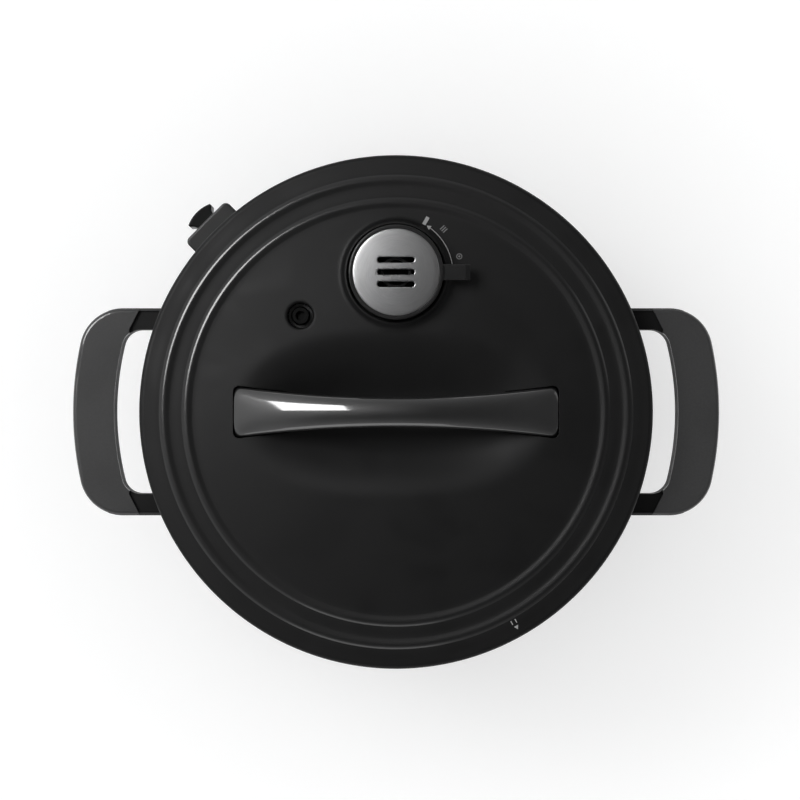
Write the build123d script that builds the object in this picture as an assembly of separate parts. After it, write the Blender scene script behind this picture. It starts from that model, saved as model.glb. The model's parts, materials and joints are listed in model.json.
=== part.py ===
"""Electric pressure cooker, five litre size, as an assembly of separate pieces.

Units are millimetres. +Z is up and +X runs through the right side handle. The front, with the
control panel, faces -Y. The origin is on the table, under the axis of the pot and of the lid.

From below: rubber feet, base tray with the electrics, sheet shell, collar with the side handles.
The outer pot hangs by its flange on the collar, and the inner pot hangs by its lip in the outer pot,
on a cast heating plate. The lid is a pressed pressure plate under a plastic cover. Its lugs drop
between those of the outer pot's flange, and a turn clockwise brings them under the flange.
"""

import os
from math import asin, cos, degrees, radians, sin, sqrt

from build123d import *

os.makedirs("parts", exist_ok=True)

# Clearances
MOVE_GAP = 0.3  # between pieces that move past each other
SLIP_GAP = 0.1  # between pieces that are pushed into each other
FASTEN_GAP = 0.05  # between a screw's shank and its hole

# Feet, base tray and shell
FOOT_R = 9.0
FOOT_H = 6.0
FOOT_INSET = 28.6  # from the tray's edge to the middle of a foot
BASE_H = 34.0
BASE_WALL = 2.5
BASE_EDGE_R = 9.0
SHELL_WALL = 1.0
SHELL_SEAT_H = 4.0  # how far the shell stands inside the tray and the collar
SHELL_LEDGE = 3.0

# Pots
POT_BORE_R = 110.0
POT_WALL = 2.0
POT_DEPTH = 148.0
POT_CORNER_R = 20.0
POT_LIP_W = 6.5
POT_LIP_T = 2.0
POT_GAP = 3.0  # air gap between the two pots
OUTER_POT_WALL = 1.2
OUTER_POT_Z = 58.0
FLANGE_W = 12.5
FLANGE_T = 2.0
SENSOR_HOLE_R = 18.0

# Bayonet: lugs on the outer pot's flange and on the lid's plate
LUG_COUNT = 6
LUG_ANGLE = 26.0
LUG_REACH = 6.0
LUG_DROP = 1.0  # gap between a lid lug and the flange over it
LID_LUG_T = 2.5

# Heating plate and temperature sensor
HEATER_INSET = 6.0  # heating plate's edge, inside the pot's bore
HEATER_T = 8.5
HEATER_FOOT_H = 4.3
HEATER_BORE_R = 16.5
ELEMENT_INSET = 14.0  # from the ring of posts in to the element
ELEMENT_R = 3.2
ELEMENT_PIN_R = 2.6
ELEMENT_GAP_ANGLE = 24.0
SENSOR_R = 13.5
SENSOR_TRAVEL = 2.0
SENSOR_STEM_R = 3.0
SPRING_COIL_R = 7.0
SPRING_WIRE_R = 0.7

# Collar and side handles
COLLAR_WALL = 8.5
COLLAR_SKIRT_H = 16.0
COLLAR_SKIRT_WALL = 2.9
CHANNEL_UNDERCUT = 3.5  # the flange reaches this far over the channel
CHANNEL_SIDE_GAP = 2.0
CHANNEL_FLOOR_T = 2.5
CHANNEL_DEPTH = 9.0
COLLAR_BELOW_FLANGE = 0.5
HANDLE_DEPTH = 45.0
HANDLE_HALF_W = 61.5
HANDLE_CORNER_R = 26.0
HANDLE_GAP = 20.5  # from the collar to the inner edge of the grip
HANDLE_GAP_HALF_W = 48.8
HANDLE_GAP_CORNER_R = 11.0
HANDLE_H = 22.0
HANDLE_COVER_T = 3.0
COVER_EDGE_R = 2.5
COVER_STRIP_W = 1.5  # strip of the cover along the outer edge of each arm
COVER_STRIP_T = 1.8
BRACKET_EDGE_R = 3.0
HANDLE_BELOW_LID = 4.0

# Lid plate and sealing ring
SEAL_H = 6.9
SEAL_OVERLAP = 2.5  # beyond the pot's lip
SEAL_INSIDE = 4.0  # within the pot's bore
PLATE_T = 2.0
PLATE_SKIRT_WALL = 2.0
LUG_SIDE_GAP = 1.0

# Lid cover
LID_OVERHANG = 3.0
COVER_WALL = 2.5
COVER_RISE = 24.5  # top of the dome above the plate
RIM_W = 11.8  # flat rim outside the outer bead
DOME_FALL = 8.5
BEAD_W = 6.6
BEAD_H = 0.9
BEAD_STEP = 1.0
BEAD_PITCH = 13.3
RIM_FALL = 0.8
LID_EDGE_R = 3.0
LID_OVER_COLLAR = 1.5
SCOOP_LENGTH = 172.0
SCOOP_WIDTH = 90.0
SCOOP_DEPTH = 18.0
SCOOP_EDGE_R = 6.0

# Lid handle
GRIP_LENGTH = 188.0
GRIP_END_W = 31.2
GRIP_WAIST_W = 17.2
GRIP_RISE = 20.0  # top of the bridge above the dome
GRIP_THICK = 12.0
GRIP_FOOT_L = 30.0
GRIP_CORNER_R = 3.5
GRIP_EDGE_R = 2.5
GRIP_SEAT_DEPTH = 8.0
GRIP_SEAM = 0.4

# Steam valve
VALVE_INSET = 37.8  # from the inner bead to the valve's centre
WELL_GAP = 0.9
WELL_DEPTH = 3.0
BEZEL_W = 1.4
BEZEL_H = 4.2
BEZEL_FLARE = 2.2  # how far its foot spreads onto the dome
NOZZLE_R = 4.5
NOZZLE_BORE_R = 1.5
NOZZLE_H = 22.5
KNOB_R = 27.3
KNOB_H = 11.0
KNOB_TOP_T = 4.0
KNOB_WALL = 2.4
CAP_RIM = 2.3  # ring of the knob that shows round the cap
CAP_T = 1.8
CAP_INSET = 0.8
CAP_EDGE_R = 0.6
SLOT_L = 21.4
SLOT_W = 3.3
SLOT_PITCH = 7.0
LEVER_L = 15.4
LEVER_W = 9.2
LEVER_T = 5.5
LEVER_EDGE_R = 0.8
LEVER_TIP_L = 2.6  # sloped end of the lever
LEVER_TIP_FALL = 1.2
CORE_R = 7.0

# Float valve
FLOAT_X, FLOAT_Y = -55.5, 56.0
FLOAT_HOLE_GAP = 2.3
FLOAT_HEAD_R = 5.2
FLOAT_HEAD_H = 7.0
FLOAT_CUP_R = 2.8
FLOAT_CUP_DEPTH = 3.0
FLOAT_STEM_R = 3.0
FLOAT_TRAVEL = 6.0
FLOAT_SEAL_WALL = 3.0
FLOAT_SEAL_H = 5.5

# Control panel
PANEL_W = 120.0
PANEL_H = 124.0
PANEL_BELOW_COLLAR = 2.5
PANEL_T = 4.3
PANEL_CORNER_R = 12.0
WINDOW_W = 54.0
WINDOW_H = 34.0
WINDOW_BELOW_TOP = 33.0
BUTTON_TRAVEL = 1.0
BUTTON_PROUD = 0.8
BUTTON_R = 7.5
BUTTON_STEM_R = 2.5
BUTTON_STEM_GAP = 3.2
KEY_COLUMN_X = 43.4
KEYS_BELOW_TOP = 30.0
KEY_ROW_PITCH = 25.0
KEY_ROWS = 3
START_X = 19.4
START_ABOVE_BOTTOM = 22.0
START_R = 10.0
BOARD_INSET = 16.0
BOARD_T = 1.6
SWITCH_T = 0.8

# Condensate cup
CUP_ANGLE = 135.0
HOOD_DEPTH = 13.5
HOOD_W = 34.4
HOOD_H = 18.0
HOOD_WALL = 2.0
HOOD_CORNER_R = 3.5
CUP_H = 58.0
CUP_WALL = 1.4
CUP_LIP_T = 2.0
CUP_LIP_W = 2.0
CUP_TRAVEL = 26.0
PULL_L = 9.1
PULL_HEAD_W = 18.3
PULL_NECK_W = 12.6
PULL_H = 22.0

# Power inlet
INLET_W = 27.8
INLET_H = 20.0
INLET_DEPTH = 28.0
INLET_WALL = 1.8
INLET_Z = 24.0
INLET_PROUD = 1.4
INLET_FLANGE_T = 1.5
INLET_CAVITY_DEPTH = 20.0

# Radii that follow from the sizes above, from the pot outwards
POT_R = POT_BORE_R + POT_WALL
POT_LIP_R = POT_R + POT_LIP_W
OUTER_POT_BORE_R = POT_R + POT_GAP
OUTER_POT_R = OUTER_POT_BORE_R + OUTER_POT_WALL
FLANGE_R = OUTER_POT_BORE_R + FLANGE_W
LUG_R = FLANGE_R + LUG_REACH
PLATE_BORE_R = LUG_R + LUG_SIDE_GAP
PLATE_SKIRT_R = PLATE_BORE_R + PLATE_SKIRT_WALL
CHANNEL_R = FLANGE_R - CHANNEL_UNDERCUT
CHANNEL_OUTER_R = PLATE_SKIRT_R + CHANNEL_SIDE_GAP
COLLAR_R = CHANNEL_OUTER_R + COLLAR_WALL
SHELL_FIT_R = COLLAR_R - COLLAR_SKIRT_WALL
SHELL_R = SHELL_FIT_R - SLIP_GAP
SHELL_IN_R = SHELL_R - SHELL_WALL
BASE_R = SHELL_FIT_R + BASE_WALL
FOOT_RING_R = BASE_R - FOOT_INSET
HEATER_R = POT_BORE_R - HEATER_INSET
SEAL_R = POT_LIP_R + SEAL_OVERLAP
SEAL_BORE_R = POT_BORE_R - SEAL_INSIDE
LID_R = COLLAR_R + LID_OVERHANG
DOME_R = LID_R - RIM_W - BEAD_W - BEAD_PITCH
HANDLE_REACH = COLLAR_R + HANDLE_DEPTH
HANDLE_GRIP_R = COLLAR_R + HANDLE_GAP
VALVE_Y = DOME_R - VALVE_INSET
WELL_R = KNOB_R + WELL_GAP
CAP_R = KNOB_R - CAP_RIM
LEVER_REACH = KNOB_R + LEVER_L
FLOAT_HOLE_R = FLOAT_HEAD_R + FLOAT_HOLE_GAP
FLOAT_SEAL_R = FLOAT_STEM_R + FLOAT_SEAL_WALL
BOARD_Y = SHELL_R - BOARD_INSET
HOOD_REACH = COLLAR_R + HOOD_DEPTH
PULL_REACH = HOOD_REACH + PULL_L
INLET_FACE_Y = BASE_R + INLET_PROUD

# Heights that follow from the sizes above, from the floor upwards
BASE_FLOOR_Z = FOOT_H + BASE_WALL
BASE_TOP_Z = FOOT_H + BASE_H
SHELL_Z = BASE_TOP_Z - SHELL_SEAT_H
HEATER_Z = OUTER_POT_Z + OUTER_POT_WALL + HEATER_FOOT_H
POT_Z = HEATER_Z + HEATER_T
RIM_Z = POT_Z + POT_WALL + POT_DEPTH
FLANGE_TOP_Z = RIM_Z - POT_LIP_T
FLANGE_Z = FLANGE_TOP_Z - FLANGE_T
CHANNEL_Z = FLANGE_Z - CHANNEL_DEPTH
COLLAR_TOP_Z = FLANGE_TOP_Z - COLLAR_BELOW_FLANGE
SHELL_TOP_Z = CHANNEL_Z - CHANNEL_FLOOR_T
COLLAR_Z = SHELL_TOP_Z - COLLAR_SKIRT_H
PLATE_Z = RIM_Z + MOVE_GAP + SEAL_H + MOVE_GAP
PLATE_TOP_Z = PLATE_Z + PLATE_T
LID_LUG_Z = FLANGE_Z - LUG_DROP - LID_LUG_T
DOME_TOP_Z = PLATE_TOP_Z + COVER_RISE
SKIRT_Z = COLLAR_TOP_Z + LID_OVER_COLLAR
HANDLE_TOP_Z = SKIRT_Z - HANDLE_BELOW_LID
PANEL_Z = COLLAR_Z - PANEL_BELOW_COLLAR - PANEL_H / 2
PANEL_TOP_Z = PANEL_Z + PANEL_H / 2
WINDOW_Z = PANEL_TOP_Z - WINDOW_BELOW_TOP
KEY_ROW_Z = PANEL_TOP_Z - KEYS_BELOW_TOP
START_Z = PANEL_Z - PANEL_H / 2 + START_ABOVE_BOTTOM


# ------------------------------------------------------------------ shared shapes
def disc(radius, low, high, x=0.0, y=0.0):
    """An upright cylinder from one height to another."""
    return Pos(x, y, (low + high) / 2) * Cylinder(radius, high - low)


def tube(outer, inner, low, high, x=0.0, y=0.0):
    """An upright tube from one height to another."""
    return disc(outer, low, high, x, y) - disc(inner, low - 1, high + 1, x, y)


def block(x0, x1, y0, y1, z0, z1):
    """A box between two corners."""
    centre = Pos((x0 + x1) / 2, (y0 + y1) / 2, (z0 + z1) / 2)
    return centre * Box(x1 - x0, y1 - y0, z1 - z0)


def turned(*corners):
    """A solid of revolution about the lid's axis. A corner is (radius, height, rounding)."""
    points = [(c[0], 0, c[1]) for c in corners]
    rounding = [c[2] if len(c) > 2 else 0 for c in corners]
    outline = FilletPolyline(*points, radius=rounding, close=True)
    return revolve(make_face(outline), Axis.Z)


def sector(inner, outer, low, high, middle, width):
    """Part of an upright tube, centred on an angle."""
    pie = Pos(0, 0, (low + high) / 2) * Cylinder(outer, high - low, arc_size=width)
    return Rot(0, 0, middle - width / 2) * pie - disc(inner, low - 1, high + 1)


def spoke(radius, start, end, height, angle):
    """A round bar that points outwards along an angle, between two distances from the axis."""
    bar = Rot(0, 90, 0) * Cylinder(radius, end - start)
    return Rot(0, 0, angle) * Pos((start + end) / 2, 0, height) * bar


def polar(radius, angle):
    """The x and y of a point at a radius and an angle in degrees."""
    return radius * cos(radians(angle)), radius * sin(radians(angle))


def save(name, shape):
    """Writes one node's STEP file."""
    export_step(shape, f"parts/{name}.step")


# ------------------------------------------------------------------ base and shell
POST_R = 4.0
POST_INSET = 20.0  # from the heating plate's edge in to the posts
POST_RING_R = HEATER_R - POST_INSET
ELEMENT_RING_R = POST_RING_R - ELEMENT_INSET
POST_ANGLES = (30, 150, 270)
SCREW_R = 2.0
SCREW_HEAD_R = 4.0
SCREW_HEAD_H = 2.4
POWER_BOARD = (-45, 45, -52, 8)
POWER_BOARD_Z = 20.0
STANDOFF_R = 3.5


def power_board_corners(inset=5.0):
    x0, x1, y0, y1 = POWER_BOARD
    return [(x, y) for x in (x0 + inset, x1 - inset) for y in (y0 + inset, y1 - inset)]


def base_tray():
    ledge_r = SHELL_FIT_R - SHELL_LEDGE
    tray = turned(
        (0, FOOT_H),
        (BASE_R, FOOT_H, BASE_EDGE_R),
        (BASE_R, BASE_TOP_Z, 1.0),
        (SHELL_FIT_R, BASE_TOP_Z),
        (SHELL_FIT_R, SHELL_Z),
        (ledge_r, SHELL_Z),
        (ledge_r, BASE_FLOOR_Z, BASE_EDGE_R - BASE_WALL),
        (0, BASE_FLOOR_Z),
    )
    half_w, half_h = INLET_W / 2, INLET_H / 2
    pad = block(-half_w - 5, half_w + 5, SHELL_R - 6, INLET_FACE_Y, INLET_Z - half_h - 4, BASE_TOP_Z)
    tray += pad - disc(ledge_r, SHELL_Z - 40, SHELL_Z + 1) - disc(SHELL_FIT_R, SHELL_Z, BASE_TOP_Z + 1)
    tray -= block(
        -half_w - SLIP_GAP,
        half_w + SLIP_GAP,
        SHELL_R - 30,
        INLET_FACE_Y + 1,
        INLET_Z - half_h - SLIP_GAP,
        INLET_Z + half_h + SLIP_GAP,
    )
    for x, y in power_board_corners():
        tray += disc(STANDOFF_R, BASE_FLOOR_Z - 1, POWER_BOARD_Z, x, y)
    for angle in POST_ANGLES:
        tray -= disc(SCREW_R + FASTEN_GAP, FOOT_H - 1, BASE_FLOOR_Z + 1, *polar(POST_RING_R, angle))
    vent_length, vent_w, vent_pitch, vents = 46.0, 3.2, 8.0, 7
    for side in (-1, 1):
        for row in range(vents):
            y = -56 + row * vent_pitch
            slot = SlotOverall(vent_length, vent_w, rotation=90)
            cut = extrude(slot, BASE_WALL + 2)
            tray -= Pos(side * (62 + row * vent_pitch) - side * 8, -4, FOOT_H - 1) * cut
    return tray


def feet():
    pad = Pos(0, 0, FOOT_H / 2) * Cylinder(FOOT_R, FOOT_H)
    pad = chamfer(pad.edges().group_by(Axis.Z)[0], 1.2)
    return [Pos(*polar(FOOT_RING_R, angle), 0) * pad for angle in (45, 135, 225, 315)]


def support_posts():
    posts = []
    for angle in POST_ANGLES:
        x, y = polar(POST_RING_R, angle)
        post = Pos(x, y, BASE_FLOOR_Z) * extrude(RegularPolygon(POST_R, 6), OUTER_POT_Z - BASE_FLOOR_Z)
        posts.append(post - disc(SCREW_R + FASTEN_GAP, BASE_FLOOR_Z - 1, BASE_FLOOR_Z + 12, x, y))
    return posts


def base_screws():
    screws = []
    for angle in POST_ANGLES:
        x, y = polar(POST_RING_R, angle)
        head = disc(SCREW_HEAD_R, FOOT_H - SCREW_HEAD_H, FOOT_H, x, y)
        head -= block(x - 2.6, x + 2.6, y - 0.5, y + 0.5, 0, FOOT_H - SCREW_HEAD_H + 1.2)
        head -= block(x - 0.5, x + 0.5, y - 2.6, y + 2.6, 0, FOOT_H - SCREW_HEAD_H + 1.2)
        screws.append(head + disc(SCREW_R, FOOT_H - 1, BASE_FLOOR_Z + 10, x, y))
    return screws


PANEL_OPENING_MARGIN = 6.0


def outer_shell():
    wall = tube(SHELL_R, SHELL_IN_R, SHELL_Z, SHELL_TOP_Z)
    low = PANEL_Z - PANEL_H / 2 + PANEL_OPENING_MARGIN
    high = PANEL_Z + PANEL_H / 2 - PANEL_OPENING_MARGIN
    half = PANEL_W / 2 - PANEL_OPENING_MARGIN
    wall -= block(-half, half, -SHELL_R - 5, -SHELL_R / 2, low, high)
    for side in (-1, 1):
        for angle, height in handle_screw_places(side):
            wall -= spoke(HANDLE_SCREW_R + FASTEN_GAP, SHELL_IN_R - 4, SHELL_R + 4, height, angle)
    return wall


# ------------------------------------------------------------------ collar and handles
DRAIN_R = 2.6
HANDLE_SCREW_R = 2.0
HANDLE_SCREW_L = 16.0
HANDLE_SCREW_RISE = 6.0


def handle_screw_places(side):
    """Angle and height of the two screws that hold one side handle."""
    middle = 0 if side > 0 else 180
    spread = degrees(asin((HANDLE_HALF_W + HANDLE_GAP_HALF_W) / 2 / COLLAR_R))
    height = HANDLE_TOP_Z - HANDLE_H + HANDLE_SCREW_RISE
    return [(middle - spread, height), (middle + spread, height)]


def body_collar():
    ledge_r = OUTER_POT_R + 1.3
    ring = turned(
        (ledge_r, FLANGE_Z),
        (CHANNEL_R, FLANGE_Z),
        (CHANNEL_R, CHANNEL_Z, 1.5),
        (CHANNEL_OUTER_R, CHANNEL_Z, 1.5),
        (CHANNEL_OUTER_R, COLLAR_TOP_Z),
        (COLLAR_R, COLLAR_TOP_Z, 1.5),
        (COLLAR_R, COLLAR_Z, 1.0),
        (SHELL_FIT_R, COLLAR_Z),
        (SHELL_FIT_R, SHELL_TOP_Z),
        (ledge_r, SHELL_TOP_Z),
    )
    ring -= spoke(DRAIN_R, CHANNEL_OUTER_R - 4, COLLAR_R + 2, CHANNEL_Z + DRAIN_R, CUP_ANGLE)
    for side in (-1, 1):
        for angle, height in handle_screw_places(side):
            ring -= spoke(HANDLE_SCREW_R + FASTEN_GAP, SHELL_FIT_R - 8, COLLAR_R + 2, height, angle)
    return ring


def handle_plan(side, trim=0.0):
    """The side handle seen from above: a rounded plate with a finger gap, cut to the collar."""
    reach = HANDLE_REACH - trim
    half = HANDLE_HALF_W - trim
    inner = COLLAR_R * 0.8
    plate = Pos((reach + inner) / 2, 0) * Rectangle(reach - inner, 2 * half)
    plate &= Circle(reach)
    corners = [v for v in plate.vertices() if v.X > COLLAR_R]
    plate = fillet(corners, HANDLE_CORNER_R - trim)
    gap = Circle(HANDLE_GRIP_R + trim) & (
        Pos(HANDLE_GRIP_R / 2, 0) * Rectangle(HANDLE_GRIP_R * 1.1, 2 * (HANDLE_GAP_HALF_W + trim))
    )
    gap = fillet(gap.vertices().group_by(Axis.X)[-1], HANDLE_GAP_CORNER_R)
    plate = plate - gap - Circle(COLLAR_R + FASTEN_GAP)
    return plate if side > 0 else mirror(plate, Plane.YZ)


def cover_split(side):
    """The region of a side handle that the cover fills: outside a slanting line on each arm."""
    arm_x, grip_x, half = COLLAR_R + 5.0, COLLAR_R + 11.5, HANDLE_HALF_W + 2
    points = [(grip_x - 4, 0), (grip_x, HANDLE_GAP_HALF_W), (arm_x, HANDLE_HALF_W), (arm_x, half)]
    points += [(HANDLE_REACH + 2, half), (HANDLE_REACH + 2, -half), (arm_x, -half)]
    points += [(arm_x, -HANDLE_HALF_W), (grip_x, -HANDLE_GAP_HALF_W)]
    region = make_face(Polyline(*points, close=True))
    return region if side > 0 else mirror(region, Plane.YZ)


def side_handle(side):
    """Bracket that forms the arms and the lower part of the grip."""
    low = HANDLE_TOP_Z - HANDLE_H
    split = HANDLE_TOP_Z - HANDLE_COVER_T
    bracket = Pos(0, 0, low) * extrude(handle_plan(side), split - low)
    bottom = bracket.faces().sort_by(Axis.Z)[0]
    outer = [e for e in bottom.edges() if abs(e.center().X) > HANDLE_REACH - 30]
    bracket = fillet(outer, BRACKET_EDGE_R)
    for angle, height in handle_screw_places(side):
        end = COLLAR_R + HANDLE_SCREW_L - 3
        bracket -= spoke(HANDLE_SCREW_R + FASTEN_GAP, COLLAR_R - 4, end, height, angle)
    return bracket


def handle_cover(side):
    """Gloss skin over the grip of one side handle."""
    split = HANDLE_TOP_Z - HANDLE_COVER_T
    plan = handle_plan(side) & cover_split(side)
    skin = Pos(0, 0, split) * extrude(plan, HANDLE_COVER_T)
    top = skin.faces().sort_by(Axis.Z)[-1]
    rim = [e for e in top.edges() if abs(e.center().X) > HANDLE_GRIP_R - 10]
    rim = [e for e in rim if abs(e.center().Y) > HANDLE_HALF_W - 1 or abs(e.center().X) > HANDLE_GRIP_R + 3]
    skin = fillet(rim, COVER_EDGE_R)
    arm_edges = Rectangle(2 * HANDLE_REACH, 2 * HANDLE_HALF_W)
    arm_edges -= Rectangle(2 * HANDLE_REACH, 2 * (HANDLE_HALF_W - COVER_STRIP_W))
    strip = handle_plan(side) & arm_edges
    return skin + Pos(0, 0, split) * extrude(strip, COVER_STRIP_T)


def handle_screws():
    screws = []
    for side in (-1, 1):
        for angle, height in handle_screw_places(side):
            # the flat underside of the head touches the curved sheet at its two sides
            seat = sqrt(SHELL_IN_R**2 - (HANDLE_SCREW_R * 1.9) ** 2)
            shank = spoke(HANDLE_SCREW_R, seat - 1, COLLAR_R + HANDLE_SCREW_L - 4, height, angle)
            screws.append(shank + spoke(HANDLE_SCREW_R * 1.9, seat - 3, seat, height, angle))
    return screws


# ------------------------------------------------------------------ pots and heater
def outer_pot():
    inside_corner = POT_CORNER_R + POT_GAP
    pot = turned(
        (SENSOR_HOLE_R, OUTER_POT_Z),
        (OUTER_POT_R, OUTER_POT_Z, inside_corner),
        (OUTER_POT_R, FLANGE_Z, 1.0),
        (FLANGE_R, FLANGE_Z),
        (FLANGE_R, FLANGE_TOP_Z),
        (OUTER_POT_BORE_R, FLANGE_TOP_Z),
        (OUTER_POT_BORE_R, OUTER_POT_Z + OUTER_POT_WALL, inside_corner - OUTER_POT_WALL),
        (SENSOR_HOLE_R, OUTER_POT_Z + OUTER_POT_WALL),
    )
    for k in range(LUG_COUNT):
        middle = k * 360 / LUG_COUNT
        pot += sector(FLANGE_R - 1, LUG_R, FLANGE_Z, FLANGE_TOP_Z, middle, LUG_ANGLE)
    for x, y in element_pins():
        pot -= disc(ELEMENT_PIN_R + 2, OUTER_POT_Z - 1, OUTER_POT_Z + OUTER_POT_WALL + 1, x, y)
    return pot


def inner_pot():
    return turned(
        (0, POT_Z),
        (POT_R, POT_Z, POT_CORNER_R + POT_WALL),
        (POT_R, FLANGE_TOP_Z),
        (POT_LIP_R, FLANGE_TOP_Z),
        (POT_LIP_R, RIM_Z, 0.8),
        (POT_BORE_R, RIM_Z, 1.5),
        (POT_BORE_R, POT_Z + POT_WALL, POT_CORNER_R),
        (0, POT_Z + POT_WALL),
    )


def element_pins():
    """Where the heating element's two ends leave the heating plate."""
    half = ELEMENT_GAP_ANGLE / 2
    return [polar(ELEMENT_RING_R, 90 - half), polar(ELEMENT_RING_R, 90 + half)]


ELEMENT_Z = HEATER_Z + 1.0


def element_tube(radius, leg_z):
    """The element's bent tube, open by a gap at the back, with its ends turned down."""
    section = Plane.XZ * Pos(ELEMENT_RING_R, ELEMENT_Z) * Circle(radius)
    arc = 360 - ELEMENT_GAP_ANGLE
    bent = Rot(0, 0, 90 + ELEMENT_GAP_ANGLE / 2) * revolve(section, Axis.Z, arc)
    for x, y in element_pins():
        bent += Pos(x, y, ELEMENT_Z) * Sphere(radius)
        bent += disc(radius, leg_z, ELEMENT_Z, x, y)
    return bent


def heating_plate():
    plate = turned(
        (HEATER_BORE_R, HEATER_Z),
        (HEATER_R, HEATER_Z, 2.5),
        (HEATER_R, POT_Z, 2.5),
        (HEATER_BORE_R, POT_Z),
    )
    for angle in POST_ANGLES:
        plate += disc(6, OUTER_POT_Z + OUTER_POT_WALL, HEATER_Z + 1, *polar(POST_RING_R, angle))
    return plate - element_tube(ELEMENT_R + SLIP_GAP, HEATER_Z - 1)


def heating_element():
    element = element_tube(ELEMENT_R, HEATER_Z - 0.5)
    for x, y in element_pins():
        element += disc(ELEMENT_PIN_R, OUTER_POT_Z - 14, HEATER_Z, x, y)
    return element


def sensor_bracket():
    plate = disc(SENSOR_HOLE_R + 6, OUTER_POT_Z - 1.5, OUTER_POT_Z)
    return plate - disc(SENSOR_STEM_R + MOVE_GAP, OUTER_POT_Z - 3, OUTER_POT_Z + 1)


SENSOR_TOP_Z = POT_Z - MOVE_GAP
SENSOR_SKIRT_H = 6.0


def sensor_cap():
    low = SENSOR_TOP_Z - SENSOR_SKIRT_H
    cap = turned((0, low), (SENSOR_R, low), (SENSOR_R, SENSOR_TOP_Z, 1.0), (0, SENSOR_TOP_Z))
    return cap + disc(SENSOR_STEM_R, OUTER_POT_Z - 8, low + 1)


def sensor_spring():
    low, high = OUTER_POT_Z, SENSOR_TOP_Z - SENSOR_SKIRT_H
    height = high - low - 2 * SPRING_WIRE_R - 0.1
    path = Helix(pitch=height / 3, height=height, radius=SPRING_COIL_R)
    wire_end = Plane(origin=path @ 0, z_dir=path % 0) * Circle(SPRING_WIRE_R)
    return Pos(0, 0, low + SPRING_WIRE_R + 0.05) * sweep(wire_end, path=path, is_frenet=True)


def pressure_switch():
    body = block(34, 56, -44, -32, OUTER_POT_Z - 16, OUTER_POT_Z - 3)
    plunger = disc(2.5, OUTER_POT_Z - 4, OUTER_POT_Z, 45, -38)
    tabs = block(36, 37, -40, -36, OUTER_POT_Z - 23, OUTER_POT_Z - 15)
    tabs += block(53, 54, -40, -36, OUTER_POT_Z - 23, OUTER_POT_Z - 15)
    return body + plunger + tabs


def thermal_fuse():
    can = Pos(-45, -38, OUTER_POT_Z - 4.5) * Rot(0, 90, 0) * Cylinder(3, 16)
    clip = block(-50, -40, -42, -34, OUTER_POT_Z - 4.5, OUTER_POT_Z)
    leads = Pos(-45, -38, OUTER_POT_Z - 4.5) * Rot(0, 90, 0) * Cylinder(0.6, 34)
    return can + clip + leads


# ------------------------------------------------------------------ electrics in the base
def power_board():
    x0, x1, y0, y1 = POWER_BOARD
    return block(x0, x1, y0, y1, POWER_BOARD_Z, POWER_BOARD_Z + BOARD_T)


def on_board(x, y, w, d, h):
    z = POWER_BOARD_Z + BOARD_T
    return block(x - w / 2, x + w / 2, y - d / 2, y + d / 2, z, z + h)


def relay():
    return on_board(-24, -34, 19, 15, 16)


def transformer():
    core = on_board(14, -28, 24, 16, 20)
    winding = on_board(14, -28, 16, 24, 14)
    return core + winding


def capacitor():
    z = POWER_BOARD_Z + BOARD_T
    return disc(6, z, z + 16, -24, -8)


def inlet_housing():
    half_w, half_h = INLET_W / 2, INLET_H / 2
    low, high = INLET_Z - half_h, INLET_Z + half_h
    body = block(-half_w, half_w, INLET_FACE_Y - INLET_DEPTH, INLET_FACE_Y, low, high)
    face = Plane.XZ * Pos(0, INLET_Z) * RectangleRounded(INLET_W + 5, INLET_H + 5, 3)
    body += Pos(0, INLET_FACE_Y + INLET_FLANGE_T, 0) * extrude(face, INLET_FLANGE_T)
    mouth_y = INLET_FACE_Y + INLET_FLANGE_T
    return body - block(
        -half_w + INLET_WALL,
        half_w - INLET_WALL,
        mouth_y - INLET_CAVITY_DEPTH,
        mouth_y + 1,
        low + INLET_WALL,
        high - INLET_WALL,
    )


def inlet_pins():
    back = INLET_FACE_Y + INLET_FLANGE_T - INLET_CAVITY_DEPTH
    pins = []
    for x, z in ((-7, -2), (7, -2), (0, 2)):
        pins.append(block(x - 1, x + 1, back, back + 13, INLET_Z + z - 2, INLET_Z + z + 2))
    return pins


WIRE_R = 1.4


def wire(*points, bend=8.0):
    """An insulated lead along straight runs joined by arcs."""
    path = FilletPolyline(*points, radius=bend)
    return sweep(Plane(origin=path @ 0, z_dir=path % 0) * Circle(WIRE_R), path=path)


def wiring():
    """Leads from the inlet to the power board, and from the board to the element's ends."""
    top = POWER_BOARD_Z + BOARD_T
    back = INLET_FACE_Y - INLET_DEPTH
    leads = []
    for side, (x, y) in zip((1, -1), element_pins()):
        inlet_end, turn = (side * 7, back, INLET_Z), (side * 7, 60, INLET_Z)
        leads.append(wire(inlet_end, turn, (side * 7, 0, 34), (side * 7, 0, top)))
        end_z = OUTER_POT_Z - 14
        leads.append(wire((side * 34, 2, top), (side * 34, 2, 36), (x, y, 36), (x, y, end_z), bend=3.5))
    return leads


# ------------------------------------------------------------------ control panel
def key_places():
    """Name, angle, height and radius of each button."""
    front = -90
    column = degrees(asin(KEY_COLUMN_X / FASCIA_R))
    start = degrees(asin(START_X / FASCIA_R))
    keys = []
    for row in range(KEY_ROWS):
        height = KEY_ROW_Z - row * KEY_ROW_PITCH
        keys.append((f"button_left_{row + 1}", front - column, height, BUTTON_R))
        keys.append((f"button_right_{row + 1}", front + column, height, BUTTON_R))
    keys.append(("button_cancel", front - start, START_Z, START_R))
    keys.append(("button_start", front + start, START_Z, START_R))
    return keys


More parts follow.
